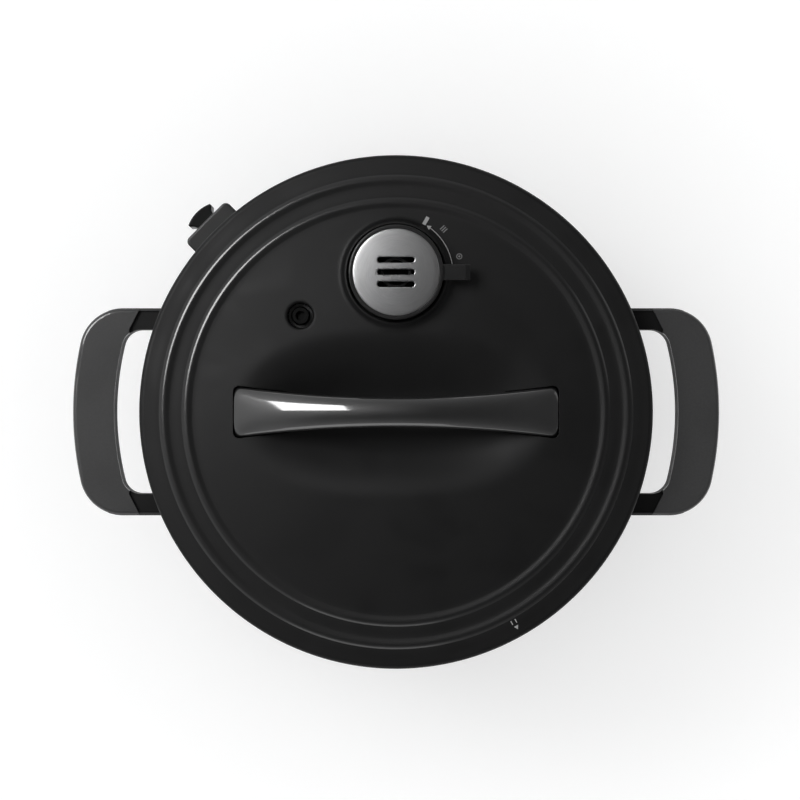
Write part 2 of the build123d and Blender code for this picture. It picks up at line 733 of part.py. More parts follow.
FASCIA_IN_R = SHELL_R + SLIP_GAP * 2
FASCIA_R = FASCIA_IN_R + PANEL_T
BOARD_MARGIN = 10.0  # the board is smaller than the panel by this much all round
BOARD_HALF_W = PANEL_W / 2 - BOARD_MARGIN
PANEL_POST_X = BOARD_HALF_W - 5.0
PANEL_POST_R = 3.0
WINDOW_LIP = 1.8


def front_slab(width, height, z, corner):
    """A rounded upright plate that reaches forwards from the middle of the cooker."""
    face = Plane.XZ * Pos(0, z) * RectangleRounded(width, height, corner)
    return extrude(face, LID_R + 10)


def panel_posts():
    half_h = PANEL_H / 2 - BOARD_MARGIN - 4
    return [(x, PANEL_Z + z) for x in (-PANEL_POST_X, PANEL_POST_X) for z in (-half_h, half_h)]


def along_y(radius, y0, y1, x, z):
    """A round bar that lies along Y."""
    return Pos(x, (y0 + y1) / 2, z) * Rot(90, 0, 0) * Cylinder(radius, abs(y1 - y0))


def control_fascia():
    ring = tube(FASCIA_R, FASCIA_IN_R, PANEL_Z - PANEL_H, PANEL_Z + PANEL_H)
    fascia = ring & front_slab(PANEL_W, PANEL_H, PANEL_Z, PANEL_CORNER_R)
    for x, z in panel_posts():
        wall_y = sqrt((FASCIA_IN_R + 1) ** 2 - (abs(x) + PANEL_POST_R) ** 2)
        post = along_y(PANEL_POST_R, -wall_y, -BOARD_Y - BOARD_T, x, z)
        fascia += post - along_y(1.2 + FASTEN_GAP, -BOARD_Y - 8, -BOARD_Y, x, z)
    fascia -= front_slab(WINDOW_W, WINDOW_H, WINDOW_Z, 4)
    step = tube(FASCIA_R + 5, FASCIA_R - WINDOW_LIP, WINDOW_Z - WINDOW_H, WINDOW_Z + WINDOW_H)
    fascia -= step & front_slab(WINDOW_W + 4, WINDOW_H + 4, WINDOW_Z, 6)
    for _, angle, height, radius in key_places():
        fascia -= spoke(radius + MOVE_GAP, FASCIA_IN_R - 10, FASCIA_R + 5, height, angle)
    return fascia


def display_window():
    ring = tube(FASCIA_R - 0.2, FASCIA_R - WINDOW_LIP + 0.01, WINDOW_Z - WINDOW_H, WINDOW_Z + WINDOW_H)
    return ring & front_slab(WINDOW_W + 4 - 2 * SLIP_GAP, WINDOW_H + 4 - 2 * SLIP_GAP, WINDOW_Z, 6 - SLIP_GAP)


def display_module():
    depth = 9.0
    return block(-24, 24, -BOARD_Y - BOARD_T - depth, -BOARD_Y - BOARD_T, WINDOW_Z - 14, WINDOW_Z + 14)


def control_board():
    half_h = PANEL_H / 2 - BOARD_MARGIN
    low, high = PANEL_Z - half_h, PANEL_Z + half_h
    board = block(-BOARD_HALF_W, BOARD_HALF_W, -BOARD_Y - BOARD_T, -BOARD_Y, low, high)
    for x, z in panel_posts():
        board -= along_y(1.2 + FASTEN_GAP, -BOARD_Y - 3, -BOARD_Y + 1, x, z)
    return board


def board_screws():
    screws = []
    for x, z in panel_posts():
        screw = along_y(1.2, -BOARD_Y - 7, -BOARD_Y, x, z)
        screws.append(screw + along_y(2.4, -BOARD_Y, -BOARD_Y + 1.6, x, z))
    return screws


def key_stem_end(angle):
    """Distance from the axis at which a button's stem ends, in front of the board."""
    return (BOARD_Y + BOARD_T + BUTTON_STEM_GAP) / cos(radians(angle + 90))


def tact_switches():
    front = -BOARD_Y - BOARD_T
    switches = []
    for _, angle, height, _ in key_places():
        x, _ = polar(key_stem_end(angle), angle)
        switches.append(block(x - 3, x + 3, front - SWITCH_T, front, height - 3, height + 3))
    return switches


def button(angle, height, radius):
    start = key_stem_end(angle)
    flange_r = radius + 1.5
    flange_end = sqrt(FASCIA_IN_R**2 - flange_r**2) - MOVE_GAP
    cap = spoke(radius, flange_end - 0.5, FASCIA_R + BUTTON_PROUD, height, angle)
    rim = cap.edges().filter_by(GeomType.CIRCLE).sort_by(lambda e: e.center().length)[-1]
    cap = fillet(rim, 0.6)
    flange = spoke(flange_r, flange_end - 1.5, flange_end, height, angle)
    return cap + flange + spoke(BUTTON_STEM_R, start, flange_end, height, angle)


# ------------------------------------------------------------------ condensate cup
def at_cup(shape):
    """Turns a piece that was drawn along +X to where the condensate cup hangs."""
    return Rot(0, 0, CUP_ANGLE) * shape


HOOD_TOP_Z = CHANNEL_Z + 5.0
HOOD_Z = HOOD_TOP_Z - HOOD_H
RAIL_T = 2.0
CUP_TOP_Z = HOOD_Z + RAIL_T + MOVE_GAP + CUP_LIP_T
CUP_LIP_HALF_W = HOOD_W / 2 - HOOD_WALL - MOVE_GAP
CUP_HALF_W = CUP_LIP_HALF_W - CUP_LIP_W
CUP_IN_R = COLLAR_R + 1.5
CUP_OUT_R = HOOD_REACH - 0.5


def drain_hood():
    back = COLLAR_R - 6
    half = HOOD_W / 2
    plan = Pos((back + HOOD_REACH) / 2, 0) * Rectangle(HOOD_REACH - back, HOOD_W)
    plan = fillet(plan.vertices().group_by(Axis.X)[-1], HOOD_CORNER_R)
    hood = Pos(0, 0, HOOD_Z) * extrude(plan, HOOD_H)
    edges = [e for e in hood.faces().sort_by(Axis.Z)[-1].edges() if e.center().X > back + 0.1]
    hood = fillet(edges, 1.2)
    inside = half - HOOD_WALL
    hood -= block(back - 1, HOOD_REACH - HOOD_WALL, -inside, inside, HOOD_Z + RAIL_T, HOOD_TOP_Z - HOOD_WALL)
    slot_half = CUP_HALF_W + MOVE_GAP
    hood -= block(back - 1, HOOD_REACH + 1, -slot_half, slot_half, HOOD_Z - 1, HOOD_Z + RAIL_T + 1)
    mouth_top = CUP_TOP_Z + MOVE_GAP
    hood -= block(HOOD_REACH - HOOD_WALL - 2, HOOD_REACH + 1, -inside, inside, HOOD_Z + RAIL_T, mouth_top)
    return at_cup(hood - disc(COLLAR_R + FASTEN_GAP, 0, COLLAR_TOP_Z + 10))


def condensate_cup():
    low = CUP_TOP_Z - CUP_H
    plan = Pos((CUP_IN_R + CUP_OUT_R) / 2, 0) * RectangleRounded(CUP_OUT_R - CUP_IN_R, 2 * CUP_HALF_W, 3)
    cup = Pos(0, 0, low) * extrude(plan, CUP_H)
    lip = block(CUP_IN_R, CUP_OUT_R - 3, -CUP_LIP_HALF_W, CUP_LIP_HALF_W, CUP_TOP_Z - CUP_LIP_T, CUP_TOP_Z)
    cup += lip
    inner_l = CUP_OUT_R - CUP_IN_R - 2 * CUP_WALL
    hollow = RectangleRounded(inner_l, 2 * (CUP_HALF_W - CUP_WALL), 3 - CUP_WALL)
    hollow = Pos((CUP_IN_R + CUP_OUT_R) / 2, 0, low + CUP_WALL) * extrude(hollow, CUP_H)
    return at_cup(cup - hollow)


def pull_outline():
    """Plan of the finger pull: a narrow neck that flares to a wide, slightly bowed head."""
    neck, head = PULL_NECK_W / 2, PULL_HEAD_W / 2
    start, shoulder, tip = CUP_OUT_R, PULL_REACH - 2.0, PULL_REACH
    waist = (start + shoulder) / 2 - 0.5
    sides = []
    for s in (1, -1):
        sides.append(ThreePointArc((start, s * neck), (waist, s * (neck + 0.4)), (shoulder - 1.5, s * head)))
        sides.append(Line((shoulder - 1.5, s * head), (shoulder, s * head)))
    sides.append(ThreePointArc((shoulder, head), (tip, 0), (shoulder, -head)))
    sides.append(Line((start, neck), (start, -neck)))
    return make_face(sides)


def cup_pull():
    top = CUP_TOP_Z - CUP_LIP_T - 1.0
    pull = Pos(0, 0, top - PULL_H) * extrude(pull_outline(), PULL_H)
    return at_cup(chamfer(pull.faces().sort_by(Axis.Z)[-1].edges().sort_by(Axis.X)[1:], 0.8))


# ------------------------------------------------------------------ lid
def lid_plate():
    plate = turned(
        (0, PLATE_Z),
        (PLATE_BORE_R, PLATE_Z, 2.0),
        (PLATE_BORE_R, LID_LUG_Z),
        (PLATE_SKIRT_R, LID_LUG_Z),
        (PLATE_SKIRT_R, PLATE_TOP_Z, 4.0),
        (0, PLATE_TOP_Z),
    )
    for k in range(LUG_COUNT):
        middle = (k + 0.5) * 360 / LUG_COUNT
        lug_in = FLANGE_R + LUG_SIDE_GAP
        plate += sector(lug_in, PLATE_BORE_R + 1, LID_LUG_Z, LID_LUG_Z + LID_LUG_T, middle, LUG_ANGLE)
    plate -= disc(NOZZLE_R + SLIP_GAP, PLATE_Z - 1, PLATE_TOP_Z + 1, 0, VALVE_Y)
    return plate - disc(FLOAT_STEM_R + MOVE_GAP, PLATE_Z - 1, PLATE_TOP_Z + 1, FLOAT_X, FLOAT_Y)


RACK_T = 1.4
RACK_Z = RIM_Z + MOVE_GAP + 2.0 + MOVE_GAP
SEAL_GROOVE_R = SEAL_R - 4.0


def sealing_ring():
    low = RIM_Z + MOVE_GAP
    high = low + SEAL_H
    return turned(
        (SEAL_BORE_R, low),
        (SEAL_R, low, 1.5),
        (SEAL_R, high, 1.5),
        (SEAL_BORE_R, high),
        (SEAL_BORE_R, RACK_Z + RACK_T + MOVE_GAP),
        (SEAL_GROOVE_R, RACK_Z + RACK_T + MOVE_GAP, 0.6),
        (SEAL_GROOVE_R, RACK_Z - MOVE_GAP, 0.6),
        (SEAL_BORE_R, RACK_Z - MOVE_GAP),
    )


def seal_rack():
    wall_r = SEAL_BORE_R - 1.5
    return turned(
        (wall_r - RACK_T, RACK_Z),
        (SEAL_GROOVE_R - 2, RACK_Z),
        (SEAL_GROOVE_R - 2, RACK_Z + RACK_T),
        (wall_r, RACK_Z + RACK_T),
        (wall_r, PLATE_Z),
        (wall_r - RACK_T, PLATE_Z),
    )


def dome_z(radius):
    """Height of the cover's dome at a distance from the axis."""
    curve = (DOME_R**2 + DOME_FALL**2) / (2 * DOME_FALL)
    return DOME_TOP_Z - curve + sqrt(curve**2 - radius**2)


def cover_outline():
    """Section of the cover's outside: dome, two raised beads, a flat rim and a rounded edge."""
    z = dome_z(DOME_R)
    lines = [ThreePointArc((0, 0, DOME_TOP_Z), (DOME_R / 2, 0, dome_z(DOME_R / 2)), (DOME_R, 0, z))]
    r = DOME_R
    for last in (False, True):
        crest = (r + BEAD_W * 0.45, 0, z + BEAD_H)
        foot = (r + BEAD_W, 0, z - BEAD_STEP)
        lines.append(ThreePointArc((r, 0, z), crest, foot))
        flat_end = LID_R - LID_EDGE_R if last else r + BEAD_PITCH
        fall = RIM_FALL if last else BEAD_STEP / 2
        lines.append(Line(foot, (flat_end, 0, foot[2] - fall)))
        r, z = flat_end, foot[2] - fall
    half = LID_EDGE_R * cos(radians(45))
    centre_z = z - LID_EDGE_R
    lines.append(ThreePointArc((r, 0, z), (r + half, 0, centre_z + half), (LID_R, 0, centre_z)))
    lines.append(Line((LID_R, 0, centre_z), (LID_R, 0, SKIRT_Z)))
    return lines, centre_z


def cover_solid():
    """The cover as a full solid, without its hollow."""
    lines, _ = cover_outline()
    lines.append(Line((LID_R, 0, SKIRT_Z), (0, 0, SKIRT_Z)))
    lines.append(Line((0, 0, SKIRT_Z), (0, 0, DOME_TOP_Z)))
    return revolve(make_face(lines), Axis.Z)


def cover_hollow():
    """The space under the cover, one wall thickness inside it."""
    _, edge_z = cover_outline()
    wall = COVER_WALL
    foot_r = DOME_R + BEAD_PITCH + BEAD_W
    foot_z = dome_z(DOME_R) - BEAD_STEP * 2.5
    lines = [
        ThreePointArc(
            (0, 0, DOME_TOP_Z - wall),
            (DOME_R / 2, 0, dome_z(DOME_R / 2) - wall),
            (DOME_R, 0, dome_z(DOME_R) - wall),
        ),
        Polyline(
            (DOME_R, 0, dome_z(DOME_R) - wall),
            (foot_r, 0, foot_z - wall),
            (LID_R - wall - 1.5, 0, edge_z - 0.3),
            (LID_R - wall, 0, edge_z - 2),
            (LID_R - wall, 0, SKIRT_Z - 1),
            (0, 0, SKIRT_Z - 1),
            (0, 0, DOME_TOP_Z - wall),
        ),
    ]
    return revolve(make_face(lines), Axis.Z)


def scoop(grow=0.0):
    """The finger scoop under the lid handle: an arc turned about a line above the lid."""
    level = dome_z(SCOOP_WIDTH / 2)
    bottom = level - SCOOP_DEPTH
    across = ((SCOOP_WIDTH / 2) ** 2 + SCOOP_DEPTH**2) / (2 * SCOOP_DEPTH)
    along = ((SCOOP_LENGTH / 2) ** 2 + SCOOP_DEPTH**2) / (2 * SCOOP_DEPTH)
    end_x = SCOOP_LENGTH / 2 + 8
    reach = along + grow
    end_z = bottom - grow + reach - sqrt(reach**2 - end_x**2)
    axis_z = bottom + across
    arc = ThreePointArc((-end_x, 0, end_z), (0, 0, bottom - grow), (end_x, 0, end_z))
    roof = Polyline((end_x, 0, end_z), (end_x, 0, axis_z), (-end_x, 0, axis_z), (-end_x, 0, end_z))
    return revolve(make_face([arc, roof]), Axis((0, 0, axis_z), (1, 0, 0)))


def grip_plan(grow=0.0):
    """The lid handle from above: two wide ends and a narrow waist."""
    end_x, end_y, waist = GRIP_LENGTH / 2 + grow, GRIP_END_W / 2 + grow, GRIP_WAIST_W / 2 + grow
    sides = [
        ThreePointArc((-end_x, end_y), (0, waist), (end_x, end_y)),
        Line((end_x, end_y), (end_x, -end_y)),
        ThreePointArc((end_x, -end_y), (0, -waist), (-end_x, -end_y)),
        Line((-end_x, -end_y), (-end_x, end_y)),
    ]
    plan = make_face(sides)
    return fillet(plan.vertices(), GRIP_CORNER_R + grow)


GRIP_END_Z = dome_z(GRIP_LENGTH / 2) + 0.5
GRIP_FLOOR_Z = GRIP_END_Z - GRIP_SEAT_DEPTH
GRIP_TOP_Z = DOME_TOP_Z + GRIP_RISE
GRIP_INSIDE_X = GRIP_LENGTH / 2 - GRIP_FOOT_L


def lid_handle():
    end_x, inside = GRIP_LENGTH / 2, GRIP_INSIDE_X
    under_z = GRIP_TOP_Z - GRIP_THICK
    spring_z = GRIP_END_Z - 0.5
    side = make_face(
        [
            ThreePointArc((-end_x, 0, GRIP_END_Z), (0, 0, GRIP_TOP_Z), (end_x, 0, GRIP_END_Z)),
            Polyline(
                (end_x, 0, GRIP_END_Z),
                (end_x, 0, GRIP_FLOOR_Z),
                (inside, 0, GRIP_FLOOR_Z),
                (inside, 0, spring_z),
            ),
            ThreePointArc((inside, 0, spring_z), (0, 0, under_z), (-inside, 0, spring_z)),
            Polyline(
                (-inside, 0, spring_z),
                (-inside, 0, GRIP_FLOOR_Z),
                (-end_x, 0, GRIP_FLOOR_Z),
                (-end_x, 0, GRIP_END_Z),
            ),
        ]
    )
    bridge = extrude(side, GRIP_END_W, both=True)
    grip = bridge & Pos(0, 0, GRIP_FLOOR_Z - 1) * extrude(grip_plan(), GRIP_TOP_Z - GRIP_FLOOR_Z + 2)
    top = grip.faces().sort_by(Axis.Z)[-1]
    grip = fillet(top.edges(), GRIP_EDGE_R)
    for x, y in grip_screw_places():
        grip -= disc(SCREW_R + FASTEN_GAP, GRIP_FLOOR_Z - 1, GRIP_FLOOR_Z + 10, x, y)
    return grip


def grip_screw_places():
    x = GRIP_LENGTH / 2 - GRIP_FOOT_L / 3
    return [(sx * x, sy * GRIP_END_W / 5) for sx in (-1, 1) for sy in (-1, 1)]


SEAT_FLOOR_T = 2.5
STUD_RING_R = DOME_R - 8.3
STUD_ANGLES = (32, 148, 212, 328)
STUD_R = 2.0
STUD_H = 7.0
STUD_BOSS_R = 5.0


def lid_cover():
    skin = cover_solid() - scoop()
    rim = [e for e in skin.edges() if abs(e.center().Z - dome_z(SCOOP_WIDTH / 2)) < 4 and e.length > 100]
    rim = [e for e in rim if e.bounding_box().size.Y < SCOOP_WIDTH + 20]
    skin = fillet(rim, SCOOP_EDGE_R)
    cover = skin - (cover_hollow() - scoop(COVER_WALL))
    # seats for the handle's two feet
    seat_in, seat_out = GRIP_INSIDE_X - 5, GRIP_LENGTH / 2 + 4
    half = GRIP_END_W / 2 + 4
    for x0, x1 in ((seat_in, seat_out), (-seat_out, -seat_in)):
        cover += block(x0, x1, -half, half, GRIP_FLOOR_Z - SEAT_FLOOR_T, DOME_TOP_Z) & skin
    pocket = Pos(0, 0, GRIP_FLOOR_Z) * extrude(grip_plan(GRIP_SEAM), DOME_TOP_Z)
    inside = GRIP_INSIDE_X - GRIP_SEAM
    cover -= pocket - block(-inside, inside, -50, 50, 0, 2 * DOME_TOP_Z)
    for x, y in grip_screw_places():
        cover -= disc(SCREW_R + FASTEN_GAP, GRIP_FLOOR_Z - 10, GRIP_FLOOR_Z + 1, x, y)
    # raised bezel and well for the steam valve
    surface = dome_z(VALVE_Y)
    floor_z = surface - WELL_DEPTH
    bezel_r = WELL_R + BEZEL_W
    cover += disc(bezel_r, floor_z - COVER_WALL, surface + BEZEL_H, 0, VALVE_Y)
    flare = Cone(bezel_r + BEZEL_FLARE, bezel_r - 0.2, BEZEL_H)
    cover += Pos(0, VALVE_Y, surface - 0.5 + BEZEL_H / 2) * flare
    cover -= disc(WELL_R, floor_z, surface + BEZEL_H + 5, 0, VALVE_Y)
    cover -= disc(NOZZLE_R * 2, floor_z - 10, floor_z + 1, 0, VALVE_Y)
    cover -= disc(FLOAT_HOLE_R, PLATE_TOP_Z, DOME_TOP_Z + 5, FLOAT_X, FLOAT_Y)
    # bosses that stand on the plate
    for angle in STUD_ANGLES:
        x, y = polar(STUD_RING_R, angle)
        boss = disc(STUD_BOSS_R, PLATE_TOP_Z, dome_z(STUD_RING_R) - 1, x, y)
        cover += boss - disc(STUD_R + FASTEN_GAP, PLATE_TOP_Z - 1, PLATE_TOP_Z + STUD_H + 0.5, x, y)
    return cover


def lid_studs():
    return [disc(STUD_R, PLATE_TOP_Z, PLATE_TOP_Z + STUD_H, *polar(STUD_RING_R, a)) for a in STUD_ANGLES]


def lid_handle_screws():
    screws = []
    low = GRIP_FLOOR_Z - SEAT_FLOOR_T
    for x, y in grip_screw_places():
        head = disc(3.6, low - SCREW_HEAD_H, low, x, y)
        screws.append(head + disc(SCREW_R, low - 1, GRIP_FLOOR_Z + 8, x, y))
    return screws


# ------------------------------------------------------------------ steam valve and float valve
NOZZLE_TOP_Z = PLATE_TOP_Z + NOZZLE_H
WELL_FLOOR_Z = dome_z(VALVE_Y) - WELL_DEPTH
KNOB_Z = WELL_FLOOR_Z + 1.5
KNOB_TOP_Z = dome_z(VALVE_Y) + BEZEL_H + KNOB_H - 1.0
NUT_H = 4.0
SHIELD_R = 13.0
SHIELD_H = 14.0


def steam_nozzle():
    body = disc(NOZZLE_R, PLATE_Z - NUT_H - 2, NOZZLE_TOP_Z, 0, VALVE_Y)
    body += disc(NOZZLE_R * 2, PLATE_TOP_Z, PLATE_TOP_Z + 2, 0, VALVE_Y)
    top = body.faces().sort_by(Axis.Z)[-1]
    body = chamfer(top.edges(), 1.5)
    return body - disc(NOZZLE_BORE_R, 0, NOZZLE_TOP_Z + 1, 0, VALVE_Y)


def nozzle_nut():
    nut = Pos(0, VALVE_Y, PLATE_Z - NUT_H) * extrude(RegularPolygon(8, 6), NUT_H)
    return nut - disc(NOZZLE_R + FASTEN_GAP, 0, PLATE_Z + 1, 0, VALVE_Y)


def steam_shield():
    low = PLATE_Z - SHIELD_H
    shield = disc(SHIELD_R, low, PLATE_Z, 0, VALVE_Y)
    shield -= disc(SHIELD_R - 0.8, low + 0.8, PLATE_Z + 1, 0, VALVE_Y)
    for k in range(8):
        slot = Rot(0, 0, k * 45) * block(SHIELD_R - 3, SHIELD_R + 3, -1.2, 1.2, low + 3, PLATE_Z - 4)
        shield -= Pos(0, VALVE_Y, 0) * slot
    return shield


def valve_core():
    bore_top = NOZZLE_TOP_Z + MOVE_GAP
    body = disc(CORE_R, WELL_FLOOR_Z + 1.5, KNOB_TOP_Z - KNOB_TOP_T - MOVE_GAP, 0, VALVE_Y)
    return body - disc(NOZZLE_R + MOVE_GAP, 0, bore_top, 0, VALVE_Y)


def cap_slots(low, high, grow=0.0):
    cuts = []
    for k in (-1, 0, 1):
        slot = extrude(SlotOverall(SLOT_L + 2 * grow, SLOT_W + 2 * grow), high - low)
        cuts.append(Pos(0, VALVE_Y + k * SLOT_PITCH, low) * slot)
    return cuts


def valve_knob():
    body = disc(KNOB_R, KNOB_Z, KNOB_TOP_Z, 0, VALVE_Y)
    body = fillet(body.faces().sort_by(Axis.Z)[-1].edges(), 0.8)
    under = KNOB_TOP_Z - KNOB_TOP_T
    body -= tube(KNOB_R - KNOB_WALL, CORE_R + MOVE_GAP + 1.6, KNOB_Z - 1, under, 0, VALVE_Y)
    body -= disc(CORE_R + MOVE_GAP, KNOB_Z - 1, under, 0, VALVE_Y)
    body -= disc(CAP_R + SLIP_GAP, KNOB_TOP_Z - CAP_INSET, KNOB_TOP_Z + 1, 0, VALVE_Y)
    lever_top = KNOB_TOP_Z - 2.0
    y0, y1 = VALVE_Y - LEVER_W / 2, VALVE_Y + LEVER_W / 2
    lever = block(KNOB_R - 1.5, LEVER_REACH, y0, y1, lever_top - LEVER_T, lever_top)
    tip = lever.edges().filter_by(Axis.Y).sort_by(Axis.X)[-2:].sort_by(Axis.Z)[-1]
    lever = chamfer(tip, LEVER_TIP_FALL, LEVER_TIP_L)
    sides = [e for e in lever.edges() if abs(abs(e.center().Y - VALVE_Y) - LEVER_W / 2) < 0.01]
    sides = [e for e in sides if e.center().Z > lever_top - LEVER_TIP_FALL and e.length > LEVER_TIP_FALL]
    body += fillet(sides, LEVER_EDGE_R)
    for cut in cap_slots(under - 1, KNOB_TOP_Z + 1):
        body -= cut
    return body


def valve_cap():
    low = KNOB_TOP_Z - CAP_INSET
    cap = disc(CAP_R, low, low + CAP_T, 0, VALVE_Y)
    for cut in cap_slots(low - 1, low + CAP_T + 1):
        cap -= cut
    return fillet(cap.faces().sort_by(Axis.Z)[-1].edges(), CAP_EDGE_R)


FLOAT_HEAD_Z = dome_z(sqrt(FLOAT_X**2 + FLOAT_Y**2)) - 5.0 - FLOAT_HEAD_H
FLOAT_SEAL_TOP_Z = PLATE_Z - FLOAT_TRAVEL - MOVE_GAP
SLEEVE_WALL = 1.6


def float_sleeve():
    seat_z = FLOAT_HEAD_Z - MOVE_GAP
    outer = FLOAT_HEAD_R + MOVE_GAP + SLEEVE_WALL
    sleeve = disc(outer, PLATE_TOP_Z, seat_z + 3, FLOAT_X, FLOAT_Y)
    sleeve -= disc(FLOAT_STEM_R + MOVE_GAP, 0, seat_z + 1, FLOAT_X, FLOAT_Y)
    return sleeve - disc(FLOAT_HEAD_R + MOVE_GAP, seat_z, seat_z + 9, FLOAT_X, FLOAT_Y)


def float_pin():
    top = FLOAT_HEAD_Z + FLOAT_HEAD_H
    pin = disc(FLOAT_HEAD_R, FLOAT_HEAD_Z, top, FLOAT_X, FLOAT_Y)
    pin = chamfer(pin.faces().sort_by(Axis.Z)[-1].edges(), 0.5)
    pin -= disc(FLOAT_CUP_R, top - FLOAT_CUP_DEPTH, top + 1, FLOAT_X, FLOAT_Y)
    low = FLOAT_SEAL_TOP_Z - FLOAT_SEAL_H
    return pin + disc(FLOAT_STEM_R, low, FLOAT_HEAD_Z + 1, FLOAT_X, FLOAT_Y)


def float_seal():
    low = FLOAT_SEAL_TOP_Z - FLOAT_SEAL_H
    seal = disc(FLOAT_SEAL_R, low, FLOAT_SEAL_TOP_Z, FLOAT_X, FLOAT_Y)
    seal = fillet(seal.faces().sort_by(Axis.Z)[0].edges(), 1.5)
    return seal - disc(FLOAT_STEM_R + FASTEN_GAP, 0, PLATE_Z, FLOAT_X, FLOAT_Y)


# ------------------------------------------------------------------ the whole cooker
def pieces():
    """Every node of the cooker, by name."""
    made = {
        "base_tray": base_tray(),
        "feet": feet(),
        "base_screws": base_screws(),
        "support_posts": support_posts(),
        "outer_shell": outer_shell(),
        "body_collar": body_collar(),
        "side_handle_left": side_handle(-1),
        "side_handle_right": side_handle(1),
        "handle_cover_left": handle_cover(-1),
        "handle_cover_right": handle_cover(1),
        "handle_screws": handle_screws(),
        "outer_pot": outer_pot(),
        "inner_pot": inner_pot(),
        "heating_plate": heating_plate(),
        "heating_element": heating_element(),
        "sensor_bracket": sensor_bracket(),
        "sensor_cap": sensor_cap(),
        "sensor_spring": sensor_spring(),
        "pressure_switch": pressure_switch(),
        "thermal_fuse": thermal_fuse(),
        "power_board": power_board(),
        "relay": relay(),
        "transformer": transformer(),
        "capacitor": capacitor(),
        "inlet_housing": inlet_housing(),
        "inlet_pins": inlet_pins(),
        "wiring": wiring(),
        "control_fascia": control_fascia(),
        "display_window": display_window(),
        "display_module": display_module(),
        "control_board": control_board(),
        "board_screws": board_screws(),
        "tact_switches": tact_switches(),
        "drain_hood": drain_hood(),
        "condensate_cup": condensate_cup(),
        "cup_pull": cup_pull(),
        "lid_plate": lid_plate(),
        "sealing_ring": sealing_ring(),
        "seal_rack": seal_rack(),
        "lid_cover": lid_cover(),
        "lid_studs": lid_studs(),
        "lid_handle": lid_handle(),
        "lid_handle_screws": lid_handle_screws(),
        "steam_nozzle": steam_nozzle(),
        "nozzle_nut": nozzle_nut(),
        "steam_shield": steam_shield(),
        "valve_core": valve_core(),
        "valve_knob": valve_knob(),
        "valve_cap": valve_cap(),
        "float_sleeve": float_sleeve(),
        "float_pin": float_pin(),
        "float_seal": float_seal(),
    }
    for name, angle, height, radius in key_places():
        made[name] = button(angle, height, radius)
    return made


for node, shape in pieces().items():
    save(node, Compound(children=shape) if isinstance(shape, list) else shape)
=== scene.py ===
# %% [markdown]
# # An electric pressure cooker, seen from above
#
# The cooker has already been drawn as solids, and those solids arrive here as fixed meshes in metres.
# This lesson gives every one of them a finish, and models again the pieces whose shape needs a softer
# hand than a solid modeller gives: the lid's cover with its beads and finger scoop, and the arched handle.

# %% Load the fixed frame
import json
from math import atan2, copysign, cos, hypot, pi, radians, sin, sqrt

import bmesh
import bpy
from mathutils import Matrix, Vector


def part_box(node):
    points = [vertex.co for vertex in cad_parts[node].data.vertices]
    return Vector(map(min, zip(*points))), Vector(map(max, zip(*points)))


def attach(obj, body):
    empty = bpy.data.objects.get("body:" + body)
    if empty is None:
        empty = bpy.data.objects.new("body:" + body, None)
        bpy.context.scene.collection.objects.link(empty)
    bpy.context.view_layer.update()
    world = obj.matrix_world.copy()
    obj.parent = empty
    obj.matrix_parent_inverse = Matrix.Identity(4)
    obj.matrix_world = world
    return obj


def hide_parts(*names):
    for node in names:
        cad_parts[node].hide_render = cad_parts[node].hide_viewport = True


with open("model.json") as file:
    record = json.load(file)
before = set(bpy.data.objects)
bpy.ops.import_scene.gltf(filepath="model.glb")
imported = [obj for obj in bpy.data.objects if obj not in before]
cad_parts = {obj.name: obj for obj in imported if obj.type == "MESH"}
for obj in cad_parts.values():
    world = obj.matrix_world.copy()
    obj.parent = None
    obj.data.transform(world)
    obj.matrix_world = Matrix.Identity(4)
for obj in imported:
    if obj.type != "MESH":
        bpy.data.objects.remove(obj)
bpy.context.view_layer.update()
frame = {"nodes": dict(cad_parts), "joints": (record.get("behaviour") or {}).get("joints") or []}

NODES = frame["nodes"]
MM = 0.001

# %% [markdown]
# ## Camera
#
# The cooker is looked at from straight above, from about a metre and a half over its lid. A long lens
# keeps the sides of the lid upright. The camera stands a little behind the lid's axis, so that the
# handles and the lid sit in the frame as they should.

# %% Place the camera
CAMERA_PLACE = (0.0023, 0.0070, 1.736)
camera_data = bpy.data.cameras.new("camera")
camera_data.lens = 115.2
camera_data.sensor_width = 36.0
camera_data.clip_end = 30.0
camera = bpy.data.objects.new("camera", camera_data)
camera.location = CAMERA_PLACE
bpy.context.scene.collection.objects.link(camera)
bpy.context.scene.camera = camera
print("camera", CAMERA_PLACE[2], "m above the floor")

# %% [markdown]
# ## Light
#
# Black plastic shows its shape by what it mirrors, not by what falls on it. So what is mirrored and what
# falls on things are lit apart. One soft box over the left shoulder of the cooker is only mirrored: it
# gives the long highlight on the handle and the bright lines on the beads. A weaker one in the same
# place and a wide, even panel overhead only fall on things: they give the short soft shadow. Two weak
# lamps stand low at the front and the right for the views from the side.

# %% Soft box and fill lamps
bpy.context.scene.view_settings.view_transform = "Standard"
TARGET = Vector((0.0, 0.0, 0.2))


def soft_box(name, azimuth, off_vertical, distance, size, watts, mirrored=True, falls=True):
    """An area lamp that faces the cooker from an azimuth and an angle off the vertical, in degrees.
    Its first side lies along the lid's handle."""
    lamp = bpy.data.lights.new(name, "AREA")
    lamp.shape = "RECTANGLE"
    lamp.size, lamp.size_y = size
    lamp.energy = watts
    piece = bpy.data.objects.new(name, lamp)
    tilt, turn = radians(off_vertical), radians(azimuth)
    ray = Vector((sin(tilt) * cos(turn), sin(tilt) * sin(turn), cos(tilt)))
    piece.location = TARGET + distance * ray
    along = (Vector((1, 0, 0)) - ray * ray.x).normalized()
    piece.rotation_euler = Matrix((along, ray.cross(along), ray)).transposed().to_euler()
    piece.visible_camera = False
    piece.visible_glossy = mirrored
    piece.visible_diffuse = falls
    bpy.context.scene.collection.objects.link(piece)


